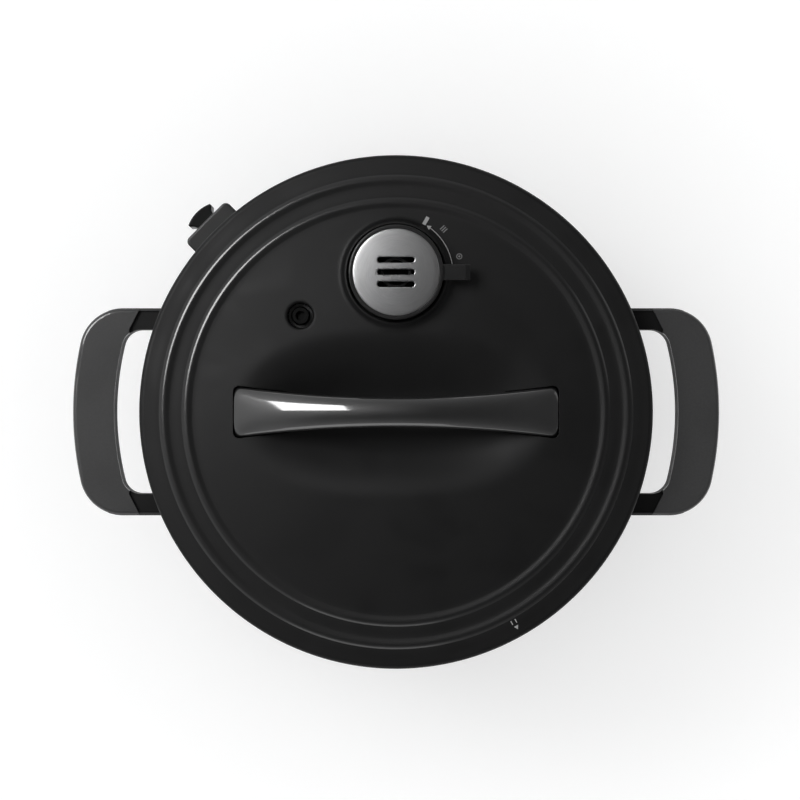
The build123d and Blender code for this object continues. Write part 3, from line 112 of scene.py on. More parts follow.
KEY_PLACE = (149, 37, 3.2)
soft_box("key_mirrored", *KEY_PLACE, (1.5, 1.35), 95.0, falls=False)
soft_box("key_falling", *KEY_PLACE, (1.6, 1.0), 22.0, mirrored=False)
soft_box("overhead", 90, 0, 3.5, (7.0, 7.0), 205.0, mirrored=False)
soft_box("front_fill", 262, 80, 2.4, (1.6, 0.7), 4.0)
soft_box("right_fill", 20, 82, 2.6, (1.2, 0.9), 2.0)
print("five lamps")

# %% [markdown]
# The sky is dark overhead, so that the lid stays black, and brighter near the horizon, so that the
# edges get a thin light line. It is also brighter on the left than on the right, as in a studio with one
# white wall, and this keeps the right end of the handle dark. The camera itself sees plain white.
#
# The sky, the shader groups and the finishes are all trees of nodes. One small helper adds nodes to any
# of them, so that each node takes one line.


# %% A helper that adds nodes
class Nodes:
    """A tree of nodes, and a short way to add nodes to it and join them."""

    def __init__(self, tree):
        self.tree = tree

    def join(self, value, socket):
        """Links a socket to another one, or types a plain value into it."""
        if isinstance(value, bpy.types.NodeSocket):
            self.tree.links.new(value, socket)
        else:
            socket.default_value = value

    def node(self, kind, **values):
        """A new node. Names in small letters are its settings, and the others are its input sockets."""
        made = self.tree.nodes.new(kind)
        for key, value in values.items():
            if key[0].islower():
                setattr(made, key, value)
            else:
                self.join(value, made.inputs[key.replace("_", " ")])
        return made

    def math(self, operation, a, b=0.0, c=0.0):
        made = self.node("ShaderNodeMath", operation=operation)
        for value, socket in zip((a, b, c), made.inputs):
            self.join(value, socket)
        return made.outputs[0]


print("node helper ready")

# %% Sky, darker overhead and on the right
SKY_HEIGHTS = ((0.0, 0.5), (0.3, 0.5), (0.45, 0.4), (0.7, 0.22), (0.9, 0.04), (1.0, 0.03))
SKY_LEFT, SKY_RIGHT = 1.35, 0.25
world = bpy.data.worlds.new("studio")
bpy.context.scene.world = world
world.use_nodes = True
world.node_tree.nodes.clear()
sky = Nodes(world.node_tree)
sky_coords = sky.node("ShaderNodeTexCoord").outputs["Generated"]
direction = sky.node("ShaderNodeSeparateXYZ", Vector=sky_coords).outputs
by_height = sky.node("ShaderNodeValToRGB", Fac=direction["Z"])
for height, brightness in SKY_HEIGHTS[1:-1]:
    by_height.color_ramp.elements.new(height)
for stop, (height, brightness) in zip(by_height.color_ramp.elements, SKY_HEIGHTS):
    stop.position = height
    stop.color = (brightness, brightness, brightness * 1.01, 1)
by_side = sky.node(
    "ShaderNodeMapRange", From_Min=-1.0, From_Max=1.0, To_Min=SKY_LEFT, To_Max=SKY_RIGHT,
    Value=direction["X"],
)
lit_sky = sky.node("ShaderNodeBackground", Color=by_height.outputs["Color"], Strength=by_side.outputs[0])
seen_sky = sky.node("ShaderNodeBackground", Color=(1, 1, 1, 1))
either = sky.node("ShaderNodeMixShader", Fac=sky.node("ShaderNodeLightPath").outputs["Is Camera Ray"])
sky.join(lit_sky.outputs[0], either.inputs[1])
sky.join(seen_sky.outputs[0], either.inputs[2])
sky.node("ShaderNodeOutputWorld", Surface=either.outputs[0])
print("sky ready")

# %% [markdown]
# ## Shader groups
#
# A finish is more than a colour: moulded plastic has a fine spark-eroded grain, hands leave faint
# patches where they hold it, dust lies on what faces up, and turned metal has fine rings. Each of these
# effects is used by several materials, so each is a node group that is built once. A group only puts out
# normals, heights and masks, and the shader itself stays in the material.


# %% A helper that builds a group
class Group(Nodes):
    """A shader node group. Its sockets are numbers, apart from those called Vector and Normal."""

    def __init__(self, name, inputs, outputs):
        super().__init__(bpy.data.node_groups.new(name, "ShaderNodeTree"))
        for label, value in inputs.items():
            socket = self.new_socket(label, "INPUT")
            if value is not None:
                socket.default_value = value
        for label in outputs:
            self.new_socket(label, "OUTPUT")
        self.given = self.node("NodeGroupInput").outputs
        self.result = self.node("NodeGroupOutput").inputs

    def new_socket(self, label, direction):
        kind = "NodeSocketVector" if label in ("Vector", "Normal") else "NodeSocketFloat"
        return self.tree.interface.new_socket(label, in_out=direction, socket_type=kind)

    def noise(self, scale, **values):
        """A noise over the vector that the group is given, from 0 to 1."""
        made = self.node("ShaderNodeTexNoise", Vector=self.given["Vector"], Scale=scale, **values)
        return made.outputs["Fac"]


print("group helper ready")

# %% [markdown]
# The grain of a moulded part comes from the sparked steel of its mould: small pits of about a third of a
# millimetre with softer, wider waves under them. Two noises of different scale, added, give that. One
# noise alone looks like sand.

# %% Group: moulded grain
WAVE_SCALE, GRAIN_SHARE = 0.28, 0.5
grain = Group("moulded_grain", {"Vector": None, "Scale": 2800.0}, ("Height", "Tone"))
pits = grain.noise(grain.given["Scale"], Detail=3.0)
waves = grain.noise(grain.math("MULTIPLY", grain.given["Scale"], WAVE_SCALE), Detail=1.0)
mixed_height = grain.math("MULTIPLY_ADD", waves, GRAIN_SHARE, grain.math("MULTIPLY", pits, GRAIN_SHARE))
grain.join(mixed_height, grain.result["Height"])
grain.join(pits, grain.result["Tone"])
print("moulded_grain")

# %% [markdown]
# Handling leaves soft, irregular patches a few centimetres wide, where the surface is a little smoother.
# A low noise pushed through a steep range gives patches with soft edges, and a second, distorted noise
# breaks them up into streaks.

# %% Group: handling marks
STREAK_SCALE = 6.0
smudge = Group("handling_marks", {"Vector": None, "Scale": 28.0}, ("Mask",))
patches = smudge.noise(smudge.given["Scale"], Detail=2.0, Distortion=0.6)
streaks = smudge.noise(
    smudge.math("MULTIPLY", smudge.given["Scale"], STREAK_SCALE), Detail=5.0, Distortion=1.5
)
patch_mask = smudge.node(
    "ShaderNodeMapRange", interpolation_type="SMOOTHSTEP", From_Min=0.42, From_Max=0.66, Value=patches
)
streak_mask = smudge.math("MULTIPLY_ADD", streaks, 0.9, 0.3)
broken = smudge.math("MULTIPLY", patch_mask.outputs[0], streak_mask)
smudge.join(smudge.math("MINIMUM", broken, 1.0), smudge.result["Mask"])
print("handling_marks")

# %% [markdown]
# Dust settles on what faces up. The height of the normal says how much a surface faces up, and specks
# are left where a sharp-edged noise passes a limit. A low noise adds a haze between them.

# %% Group: settled dust
HAZE_SCALE, SPECK_SIZE, SPECK_SHARE, HAZE_SHARE = 0.06, 0.16, 0.6, 0.3
dust = Group("settled_dust", {"Vector": None, "Scale": 900.0}, ("Mask",))
facing = dust.node("ShaderNodeSeparateXYZ", Vector=dust.node("ShaderNodeNewGeometry").outputs["Normal"])
facing_up = dust.math("POWER", dust.math("MAXIMUM", facing.outputs["Z"], 0.0), 3.0)
specks = dust.node("ShaderNodeTexVoronoi", Vector=dust.given["Vector"], Scale=dust.given["Scale"])
speck_mask = dust.math("LESS_THAN", specks.outputs["Distance"], SPECK_SIZE)
haze = dust.noise(dust.math("MULTIPLY", dust.given["Scale"], HAZE_SCALE), Detail=4.0)
spread = dust.math("MULTIPLY_ADD", speck_mask, SPECK_SHARE, dust.math("MULTIPLY", haze, HAZE_SHARE))
dust.join(dust.math("MULTIPLY", spread, facing_up), dust.result["Mask"])
print("settled_dust")

# %% [markdown]
# Spun and turned metal carries fine rings about its axis, and so does sheet that is brushed round a
# body. The rings depend on the distance from the axis and on the height. A four-dimensional noise takes
# those two, and the sine and cosine of the angle, so the lines fade in and out on their way round and
# meet without a seam.

# %% Group: turned rings
rings = Group("turned_rings", {"Vector": None, "Lines": 4000.0, "Breaks": 3.0}, ("Height", "Mask"))
place_x, place_y, place_z = rings.node("ShaderNodeSeparateXYZ", Vector=rings.given["Vector"]).outputs
squares = [rings.math("POWER", side, 2.0) for side in (place_x, place_y)]
across = rings.math("SQRT", rings.math("ADD", *squares))
not_zero = rings.math("MAXIMUM", across, 0.0001)
cosine, sine = (rings.math("DIVIDE", side, not_zero) for side in (place_x, place_y))
spot = rings.node(
    "ShaderNodeCombineXYZ",
    X=rings.math("MULTIPLY", across, rings.given["Lines"]),
    Y=rings.math("MULTIPLY", place_z, rings.given["Lines"]),
    Z=rings.math("MULTIPLY", cosine, rings.given["Breaks"]),
)
ring_noise = rings.node(
    "ShaderNodeTexNoise", noise_dimensions="4D", Scale=1.0, Detail=3.0, Roughness=0.7,
    Vector=spot.outputs[0], W=rings.math("MULTIPLY", sine, rings.given["Breaks"]),
).outputs["Fac"]
ring_mask = rings.node("ShaderNodeMapRange", From_Min=0.3, From_Max=0.7, Value=ring_noise)
rings.join(ring_noise, rings.result["Height"])
rings.join(ring_mask.outputs[0], rings.result["Mask"])
print("turned_rings")

# %% [markdown]
# No moulded or cut edge is truly sharp, and where hands and cloths rub it, it is a little lighter and
# smoother. The Bevel node gives the normal that the surface would have if its edges were rounded. Where
# that differs from the true normal there is an edge, which gives a mask for the wear.

# %% Group: soft edges
WEAR_GAIN = 4.0
edges = Group("soft_edges", {"Width": 0.0006}, ("Normal", "Wear"))
rounded = edges.node("ShaderNodeBevel", samples=4, Radius=edges.given["Width"]).outputs[0]
likeness = edges.node("ShaderNodeVectorMath", operation="DOT_PRODUCT")
edges.join(rounded, likeness.inputs[0])
edges.join(edges.node("ShaderNodeNewGeometry").outputs["Normal"], likeness.inputs[1])
worn = edges.math("MULTIPLY", edges.math("SUBTRACT", 1.0, likeness.outputs["Value"]), WEAR_GAIN)
edges.join(rounded, edges.result["Normal"])
edges.join(edges.math("MINIMUM", worn, 1.0), edges.result["Wear"])
print("soft_edges")

# %% [markdown]
# ## Finishes
#
# Each finish starts from the Principled shader. What stays the same all over a piece is typed into the
# shader's own sockets. What changes over the surface comes from the groups.


# %% A helper that builds a material
class Finish(Nodes):
    """A material with its Principled shader, and a short way to feed that shader."""

    def __init__(self, name, **constants):
        self.material = bpy.data.materials.new(name)
        self.material.use_nodes = True
        super().__init__(self.material.node_tree)
        self.shader = self.tree.nodes["Principled BSDF"]
        self.coords = self.node("ShaderNodeTexCoord").outputs["Object"]
        for label, value in constants.items():
            self.shader.inputs[label.replace("_", " ")].default_value = value

    def group(self, built, **values):
        """Places a group with its own values. Returns its outputs."""
        made = self.node("ShaderNodeGroup", node_tree=built.tree, **values)
        if "Vector" in made.inputs:
            self.join(self.coords, made.inputs["Vector"])
        return made.outputs

    def centred(self, x, y):
        """Moves the pattern's centre to a point of the lid, in metres."""
        self.coords = self.node("ShaderNodeMapping", Location=(-x, -y, 0), Vector=self.coords).outputs[0]

    def vary(self, mask, label, low, high):
        """Feeds a socket of the shader with a value that runs from low to high with a mask."""
        reach = self.node("ShaderNodeMapRange", To_Min=low, To_Max=high, Value=mask)
        self.join(reach.outputs[0], self.shader.inputs[label])
        return reach

    def tint(self, mask, dark, light, strength=1.0):
        """A colour between two others by a mask. The dark one may be a socket. Returns its socket."""
        if strength != 1.0:
            mask = self.math("MULTIPLY", mask, strength)
        if isinstance(dark, tuple):
            dark = (*dark, 1)
        mixer = self.node("ShaderNodeMix", data_type="RGBA", A=dark, B=(*light, 1), Factor=mask)
        return mixer.outputs["Result"]

    def colour(self, socket):
        self.join(socket, self.shader.inputs["Base Color"])

    def bump(self, height, depth, normal=None):
        """Raises the surface by a height map, with its depth in metres."""
        raised = self.node("ShaderNodeBump", Distance=depth, Strength=1.0, Height=height)
        if normal is not None:
            self.join(normal, raised.inputs["Normal"])
        self.join(raised.outputs[0], self.shader.inputs["Normal"])

    def rub_beads(self, first, pitch, width, weight):
        """Two round beads rubbed shiny. They start at a distance from the upright axis, in metres."""
        flat = self.node("ShaderNodeVectorMath", operation="MULTIPLY")
        self.join(self.coords, flat.inputs[0])
        self.join((1, 1, 0), flat.inputs[1])
        from_axis = self.node("ShaderNodeVectorMath", operation="LENGTH")
        self.join(flat.outputs[0], from_axis.inputs[0])
        beads = [
            self.math("COMPARE", from_axis.outputs["Value"], start + width / 2, width / 2)
            for start in (first, first + pitch)
        ]
        self.vary(self.math("ADD", *beads), "Coat Weight", 0.0, weight)


def shade(colour, factor):
    return tuple(channel * factor for channel in colour)


print("finish helper ready")

# %% [markdown]
# Moulded plastic comes in several degrees here: the lid's cover and the body are matt with a visible
# grain, the handles are satin, and the lid's handle and the panel are glossy with only a faint
# orange-peel wave. One function makes them all, because they differ only in numbers: how rough the
# plastic is, how fine its grain is and how deep, in metres.

# %% Function: moulded plastic
PIT_DARK, PIT_LIGHT = 0.8, 1.25
DUST_COLOUR, DUST_SHARE = (0.32, 0.31, 0.3), 0.02
EDGE_LIGHTER, EDGE_SHARE, TOUCHED_SMOOTHER = 2.4, 0.35, 0.82


def moulded(name, colour, roughness, scale, depth, dusty=0.35, edge=0.0006, rubbed=None, **constants):
    made = Finish(name, Metallic=0.0, IOR=1.5, **constants)
    if rubbed:
        made.rub_beads(*rubbed)
    grained = made.group(grain, Scale=scale)
    softened = made.group(edges, Width=edge)
    tone = made.tint(grained["Tone"], shade(colour, PIT_DARK), shade(colour, PIT_LIGHT))
    tone = made.tint(softened["Wear"], tone, shade(colour, EDGE_LIGHTER), EDGE_SHARE)
    made.colour(made.tint(made.group(dust)["Mask"], tone, DUST_COLOUR, DUST_SHARE * dusty))
    made.vary(made.group(smudge)["Mask"], "Roughness", roughness, roughness * TOUCHED_SMOOTHER)
    made.bump(grained["Height"], depth, softened["Normal"])
    return made.material


print("plastic can be moulded")

# %% [markdown]
# What is seen from outside gets the most care. Cloths and hands keep the two beads of the lid's cover
# shinier than the rest of it, so the beads alone get a clear coat. Their place is written once, in
# millimetres from the lid's axis, and the shape of the cover uses it too.

# %% Plastics that are seen
LID_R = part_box("lid_cover")[1].x / MM
DOME_R, BEAD_W, BEAD_PITCH, BEAD_SHINE = LID_R - 31.7, 6.6, 13.3, 0.65
lid_plastic = moulded(
    "lid_plastic", (0.0035, 0.0035, 0.0036), 0.55, 2600.0, 0.000009,
    rubbed=(DOME_R * MM, BEAD_PITCH * MM, BEAD_W * MM, BEAD_SHINE),
    Specular_IOR_Level=0.19, Coat_Roughness=0.2, Coat_IOR=1.7,
)
arm_plastic = moulded(
    "arm_plastic", (0.004, 0.004, 0.0041), 0.45, 2600.0, 0.00002, edge=0.0003, Specular_IOR_Level=0.14,
)
cover_plastic = moulded(
    "cover_plastic", (0.028, 0.028, 0.0284), 0.4, 900.0, 0.000005, 0.6, edge=0.0002,
    Specular_IOR_Level=0.3, Coat_Weight=0.7, Coat_Roughness=0.1,
)
grip_plastic = moulded(
    "grip_plastic", (0.006, 0.006, 0.0061), 0.48, 260.0, 0.000003, 0.5,
    Coat_Weight=1.0, Coat_Roughness=0.09, Coat_IOR=1.75,
)
knob_plastic = moulded(
    "knob_plastic", (0.006, 0.006, 0.0061), 0.32, 2400.0, 0.000008, Specular_IOR_Level=0.4,
)
hood_plastic = moulded(
    "hood_plastic", (0.011, 0.011, 0.0112), 0.36, 2400.0, 0.00001, Specular_IOR_Level=0.4,
)
pull_plastic = moulded(
    "pull_plastic", (0.002, 0.002, 0.0021), 0.35, 1200.0, 0.00001, Specular_IOR_Level=0.15,
)
panel_plastic = moulded(
    "panel_plastic", (0.005, 0.005, 0.0053), 0.12, 120.0, 0.000006, 0.6,
    Coat_Weight=0.5, Coat_Roughness=0.04,
)
body_plastic = moulded("body_plastic", (0.02, 0.02, 0.0205), 0.42, 2200.0, 0.00003)
cup_plastic = moulded("cup_plastic", (0.05, 0.052, 0.055), 0.14, 300.0, 0.00002, 0.4)
button_plastic = moulded("button_plastic", (0.2, 0.2, 0.205), 0.38, 1800.0, 0.00004)
start_plastic = moulded("start_plastic", (0.36, 0.36, 0.365), 0.36, 1800.0, 0.00004)
foot_rubber = moulded("foot_rubber", (0.022, 0.022, 0.022), 0.78, 1600.0, 0.00016, 0.2)
print("plastics for the outside")

# %% Plastics inside
inner_plastic = moulded("inner_plastic", (0.014, 0.014, 0.014), 0.5, 1800.0, 0.00001, 0.1)
ivory_plastic = moulded("ivory_plastic", (0.62, 0.57, 0.43), 0.42, 1500.0, 0.00005, 0.1)
relay_plastic = moulded("relay_plastic", (0.02, 0.09, 0.33), 0.25, 600.0, 0.00002, 0.1)
wire_sleeve = moulded("wire_sleeve", (0.5, 0.06, 0.04), 0.55, 2000.0, 0.00005, 0.1)
# The valve's core is made near black and gives almost no reflection. This is painted shade, so that the
# hollow under the cap's slots reads dark.
valve_core_painted_shade = moulded(
    "valve_core_painted_shade", (0.0006, 0.0006, 0.0006), 0.7, 1600.0, 0.00001, 0.1, Specular_IOR_Level=0.02,
)
print("plastics for the inside")

# %% [markdown]
# The metal parts are turned, spun or brushed. The same rings serve them all: about the valve's axis on
# the cap, and about the pot's axis on the shell, the pots and the plates. Each needs its own number of
# lines to the metre and its own roughness.

# %% Function: turned metal
RING_DARK, RING_LIGHT, TOUCH_DARK, TOUCH_SHARE = 0.86, 1.06, 0.8, 0.25


def turned_metal(name, colour, rough, lines, depth, centre=None, breaks=3.0):
    made = Finish(name, Metallic=1.0)
    if centre:
        made.centred(*centre)
    ringed = made.group(rings, Lines=lines, Breaks=breaks)
    touched = made.group(smudge, Scale=45.0)
    tone = made.tint(ringed["Mask"], shade(colour, RING_DARK), shade(colour, RING_LIGHT))
    made.colour(made.tint(touched["Mask"], tone, shade(colour, TOUCH_DARK), TOUCH_SHARE))
    made.vary(ringed["Mask"], "Roughness", *rough)
    made.bump(ringed["Height"], depth, made.group(edges, Width=0.0004)["Normal"])
    return made.material


print("metal can be turned")


# %% Metals
def middle_of(node):
    """The middle of a fixed piece, seen from above."""
    low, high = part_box(node)
    return (low.x + high.x) / 2, (low.y + high.y) / 2


VALVE, FLOAT = middle_of("valve_cap"), middle_of("float_pin")
cap_steel = turned_metal("cap_steel", (0.45, 0.45, 0.454), (0.31, 0.39), 3500.0, 0.000004, VALVE)
weight_steel = turned_metal("weight_steel", (0.6, 0.6, 0.605), (0.28, 0.4), 3000.0, 0.000005, VALVE)
float_metal = turned_metal("float_metal", (0.01, 0.01, 0.01), (0.42, 0.52), 4000.0, 0.000004, FLOAT)
shell_steel = turned_metal("shell_steel", (0.4, 0.4, 0.405), (0.2, 0.32), 5200.0, 0.00001, breaks=6.0)
sheet_steel = turned_metal("sheet_steel", (0.5, 0.5, 0.5), (0.3, 0.42), 2600.0, 0.00001)
lid_steel = turned_metal("lid_steel", (0.62, 0.62, 0.62), (0.2, 0.3), 3200.0, 0.000005)
screw_steel = turned_metal("screw_steel", (0.55, 0.55, 0.56), (0.3, 0.4), 5000.0, 0.000004)
cast_aluminium = turned_metal("cast_aluminium", (0.66, 0.66, 0.67), (0.36, 0.5), 1800.0, 0.00002)
element_steel = turned_metal("element_steel", (0.3, 0.27, 0.25), (0.4, 0.55), 2400.0, 0.00003)
brass = turned_metal("brass", (0.62, 0.48, 0.22), (0.25, 0.38), 4000.0, 0.000005)
can_metal = turned_metal("can_metal", (0.1, 0.1, 0.13), (0.3, 0.4), 2500.0, 0.00001)
print("metals ready")

# %% [markdown]
# The inner pot has a dark sprayed coating with tiny bright flecks of mineral in it. Voronoi cells give
# the flecks: only the few cells whose random value is high take the light colour.

# %% Pot coating
FLECK_LIMIT = 0.93
coating = Finish("pot_coating", Metallic=0.0, IOR=1.5)
cells = coating.node("ShaderNodeTexVoronoi", Scale=1400.0, Vector=coating.coords)
cell_values = coating.node("ShaderNodeSeparateColor", Color=cells.outputs["Color"])
flecks = coating.math("GREATER_THAN", cell_values.outputs[0], FLECK_LIMIT)
sprayed = coating.group(grain, Scale=1500.0)
coat_tone = coating.tint(sprayed["Tone"], (0.03, 0.03, 0.032), (0.045, 0.045, 0.047))
coating.colour(coating.tint(flecks, coat_tone, (0.22, 0.22, 0.23), 0.7))
coating.vary(coating.group(smudge, Scale=20.0)["Mask"], "Roughness", 0.34, 0.26)
coating.bump(sprayed["Height"], 0.00005)
pot_coating = coating.material
print("pot_coating")

# %% [markdown]
# Silicone lets a little light into itself and takes lint. Subsurface light, a rough face and the dust
# group make it look soft.


# %% Silicone
def silicone(name, colour):
    made = Finish(name, Metallic=0.0, IOR=1.41, Subsurface_Weight=0.25, Subsurface_Scale=0.002)
    made.shader.inputs["Subsurface Radius"].default_value = (1.0, 0.8, 0.6)
    grained = made.group(grain, Scale=900.0)
    dusted = made.group(dust)
    tone = made.tint(grained["Tone"], shade(colour, 0.9), shade(colour, 1.05))
    made.colour(made.tint(dusted["Mask"], tone, (0.4, 0.39, 0.37), 0.15))
    made.vary(dusted["Mask"], "Roughness", 0.48, 0.62)
    made.bump(grained["Height"], 0.00005)
    return made.material


seal_silicone = silicone("seal_silicone", (0.68, 0.68, 0.66))
float_silicone = silicone("float_silicone", (0.5, 0.06, 0.05))
print("two silicones")

# %% [markdown]
# A circuit board is a green lacquer over copper tracks. A brick pattern, stretched, stands for the
# tracks: its joints are the gaps between them. The lacquer is a little raised over the copper.

# %% Circuit board
TRACK_TURN, TRACK_TILT = radians(8), radians(38)
board = Finish("circuit_board", Metallic=0.0, IOR=1.5)
tilted = board.node("ShaderNodeMapping", Rotation=(TRACK_TILT, 0, TRACK_TURN), Vector=board.coords)
tracks = board.node(
    "ShaderNodeTexBrick", Scale=90.0, Mortar_Size=0.03, Color1=(1, 1, 1, 1), Color2=(0.75, 0.75, 0.75, 1),
    Mortar=(0, 0, 0, 1), Vector=tilted.outputs[0],
)
board.colour(board.tint(tracks.outputs["Color"], (0.008, 0.06, 0.02), (0.02, 0.16, 0.06)))
board.vary(board.group(grain, Scale=1800.0)["Tone"], "Roughness", 0.28, 0.4)
board.bump(tracks.outputs["Fac"], 0.00004)
circuit_board = board.material
print("circuit_board")

# %% [markdown]
# The display's window is smoked acrylic: clear, dark and glossy, with faint finger marks that only show
# in its reflections. Printed ink is even in colour and a little uneven in its gloss.

# %% Smoked window and inks
window = Finish("smoked_window", Metallic=0.0, IOR=1.49, Transmission_Weight=0.85)
finger_marks = window.group(smudge, Scale=60.0)["Mask"]
window.colour(window.tint(finger_marks, (0.2, 0.21, 0.22), (0.16, 0.17, 0.18)))
window.vary(finger_marks, "Roughness", 0.03, 0.12)
smoked_window = window.material


def ink(name, colour, roughness=0.55):
    made = Finish(name, Metallic=0.0, IOR=1.5)
    grained = made.group(grain, Scale=4200.0)
    made.colour(made.tint(grained["Tone"], shade(colour, 0.75), shade(colour, 1.15)))
    made.vary(grained["Tone"], "Roughness", roughness, roughness + 0.12)
    made.bump(grained["Height"], 0.00002)
    return made.material


white_ink = ink("white_ink", (0.27, 0.27, 0.27))
grey_ink = ink("grey_ink", (0.13, 0.13, 0.133))
segment_ink = ink("segment_ink", (0.10, 0.12, 0.13), 0.3)
print("window and inks")

# %% [markdown]
# ## Giving the finishes to the fixed pieces
#
# Every fixed piece keeps its mesh and takes one finish. The list goes by finish, so a piece that is
# missing from it shows up in the count.

# %% Assign finishes
FINISH_OF = {
    body_plastic: ["base_tray", "body_collar"],
    foot_rubber: ["feet"],
    screw_steel: ["base_screws", "support_posts", "handle_screws", "board_screws", "lid_handle_screws"],
    shell_steel: ["outer_shell"],
    arm_plastic: ["side_handle_left", "side_handle_right"],
    cover_plastic: ["handle_cover_left", "handle_cover_right"],
    sheet_steel: ["outer_pot", "sensor_bracket", "sensor_spring"],
    pot_coating: ["inner_pot"],
    cast_aluminium: ["heating_plate", "sensor_cap", "thermal_fuse"],
    element_steel: ["heating_element", "transformer"],
    ivory_plastic: ["pressure_switch"],
    circuit_board: ["power_board", "control_board"],
    relay_plastic: ["relay", "tact_switches"],
    can_metal: ["capacitor"],
    inner_plastic: ["inlet_housing", "display_module", "float_sleeve"],
    brass: ["inlet_pins", "lid_studs", "nozzle_nut"],
    wire_sleeve: ["wiring"],
    panel_plastic: ["control_fascia"],
    smoked_window: ["display_window"],
    hood_plastic: ["drain_hood"],
    cup_plastic: ["condensate_cup"],
    pull_plastic: ["cup_pull"],
    lid_steel: ["lid_plate", "seal_rack", "steam_shield"],
    seal_silicone: ["sealing_ring"],
    lid_plastic: ["lid_cover"],
    grip_plastic: ["lid_handle"],
    weight_steel: ["steam_nozzle"],
    # painted shade: the valve's core is near black, so the cap's slots look dark inside
    valve_core_painted_shade: ["valve_core"],
    knob_plastic: ["valve_knob"],
    cap_steel: ["valve_cap"],
    float_metal: ["float_pin"],
    float_silicone: ["float_seal"],
    button_plastic: [f"button_{side}_{row}" for side in ("left", "right") for row in (1, 2, 3)],
    start_plastic: ["button_cancel", "button_start"],
}
finished = 0
for material, names in FINISH_OF.items():
    for name in names:
        mesh = NODES[name].data
        mesh.materials.clear()
        mesh.materials.append(material)
        finished += 1
print(finished, "of", len(NODES), "pieces finished")
assert finished == len(NODES)

# %% [markdown]
# ## The lid's shape, as a function
#
# The cover, the printed marks and the seats of the handle all follow the same surface, so its height is
# written once, as a function of the place on the lid. The dome is part of a large sphere, the scoop is
# taken off it, and two beads run round outside it.

# %% Heights on the lid, in millimetres
SKIRT_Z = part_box("lid_cover")[0].z / MM
DOME_FALL, DOME_TOP_Z = 8.5, 256.0
CURVE_R = (DOME_R**2 + DOME_FALL**2) / (2 * DOME_FALL)
SCOOP_HALF_L, SCOOP_HALF_W, SCOOP_DEPTH = 96.0, 50.0, 17.0
BEAD_RISE, BEAD_DROP, BEAD_CREST = 0.45, 1.45, 0.55
BAND_FALL, RIM_FALL, EDGE_R, WALL = 0.5, 0.8, 3.0, 2.5


def dome_z(radius):
    return DOME_TOP_Z - CURVE_R + sqrt(CURVE_R**2 - radius**2)


def scoop_drop(x, y):
    """How far the finger scoop lies below the dome. It has no edge: it starts level with the dome."""
    inside = 1 - abs(x / SCOOP_HALF_L) ** 2.6 - (y / SCOOP_HALF_W) ** 2
    return SCOOP_DEPTH * max(inside, 0.0) ** 2.1


def smooth(t):
    t = min(max(t, 0.0), 1.0)
    return t * t * (3 - 2 * t)


def bead_z(t):
    """A bead's height over its start, for t from 0 to 1 across it: a gentle rise, then a fall that gets
    steeper down to a crease at its foot."""
    if t < BEAD_CREST:
        return BEAD_RISE * smooth(t / BEAD_CREST)
    return BEAD_RISE - BEAD_DROP * ((t - BEAD_CREST) / (1 - BEAD_CREST)) ** 2


print("lid radius", round(LID_R, 1), "dome", round(dome_z(0), 1), "to", round(dome_z(DOME_R), 1))

# %% [markdown]
# ## The lid's cover
#
# The real cover is one moulding. It could be made from a cylinder with inset rings, but its section is
# what gives it its look: dome, two beads, flat rim, rounded edge, skirt, and the same again inside. So
# the section is drawn once as a line of points and spun round the lid's axis.

# %% Helpers for meshes


def new_piece(name, bm, material, body, angle=38.0):
    """Turns a bmesh in millimetres into a finished piece in metres that rides on a body."""
    bmesh.ops.scale(bm, vec=(MM, MM, MM), verts=bm.verts)
    mesh = bpy.data.meshes.new(name)
    bm.to_mesh(mesh)
    bm.free()
    for face in mesh.polygons:
        face.use_smooth = True
    mesh.set_sharp_from_angle(angle=radians(angle))
    mesh.materials.append(material)
    piece = bpy.data.objects.new(name, mesh)
    bpy.context.scene.collection.objects.link(piece)
    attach(piece, body)
    return piece


def draw_line(bm, points):
    """A chain through (x, z) points in the plane y = 0. Returns its vertices, then its edges."""
    verts = [bm.verts.new((x, 0, z)) for x, z in points]
    return verts, [bm.edges.new(pair) for pair in zip(verts, verts[1:])]


def spin_closed(bm, section, steps):
    """Spins a section a full turn about the upright axis, and closes its seam and its poles."""
    bmesh.ops.spin(
        bm, geom=section, cent=(0, 0, 0), axis=(0, 0, 1), dvec=(0, 0, 0),
        angle=2 * pi, steps=steps, use_merge=True, use_duplicate=False,
    )
    bmesh.ops.remove_doubles(bm, verts=bm.verts, dist=0.001)
    bmesh.ops.recalc_face_normals(bm, faces=bm.faces)


def round_edges(bm, edges, radius, segments):
    bmesh.ops.bevel(
        bm, geom=edges, offset=radius, segments=segments, profile=0.5, affect="EDGES", material=-1
    )


def is_upright(edge):
    return abs(edge.verts[0].co.z - edge.verts[1].co.z) > 1


def only(kind, geometry):
    return [item for item in geometry if isinstance(item, kind)]


print("mesh helpers ready")

# %% Draw the section of the cover
DOME_STEPS, BEAD_STEPS, BAND_STEPS, EDGE_STEPS, CHAMFER = 44, 16, 4, 8, 0.4
FLAT_RIM_W = LID_R - EDGE_R - DOME_R - BEAD_PITCH - BEAD_W
dome_stations = [DOME_R * k / DOME_STEPS for k in range(DOME_STEPS)]
outside = [(x, dome_z(x)) for x in dome_stations]
edge_x, edge_z = DOME_R, dome_z(DOME_R)
for band_w, fall in ((BEAD_PITCH - BEAD_W, BAND_FALL), (FLAT_RIM_W, RIM_FALL)):
    for k in range(BEAD_STEPS + 1):
        outside.append((edge_x + BEAD_W * k / BEAD_STEPS, edge_z + bead_z(k / BEAD_STEPS)))
    edge_x, edge_z = edge_x + BEAD_W, edge_z + BEAD_RISE - BEAD_DROP
    for k in range(1, BAND_STEPS):
        outside.append((edge_x + band_w * k / BAND_STEPS, edge_z - fall * smooth(k / BAND_STEPS)))
    edge_x, edge_z = edge_x + band_w, edge_z - fall
corner_z = edge_z - EDGE_R
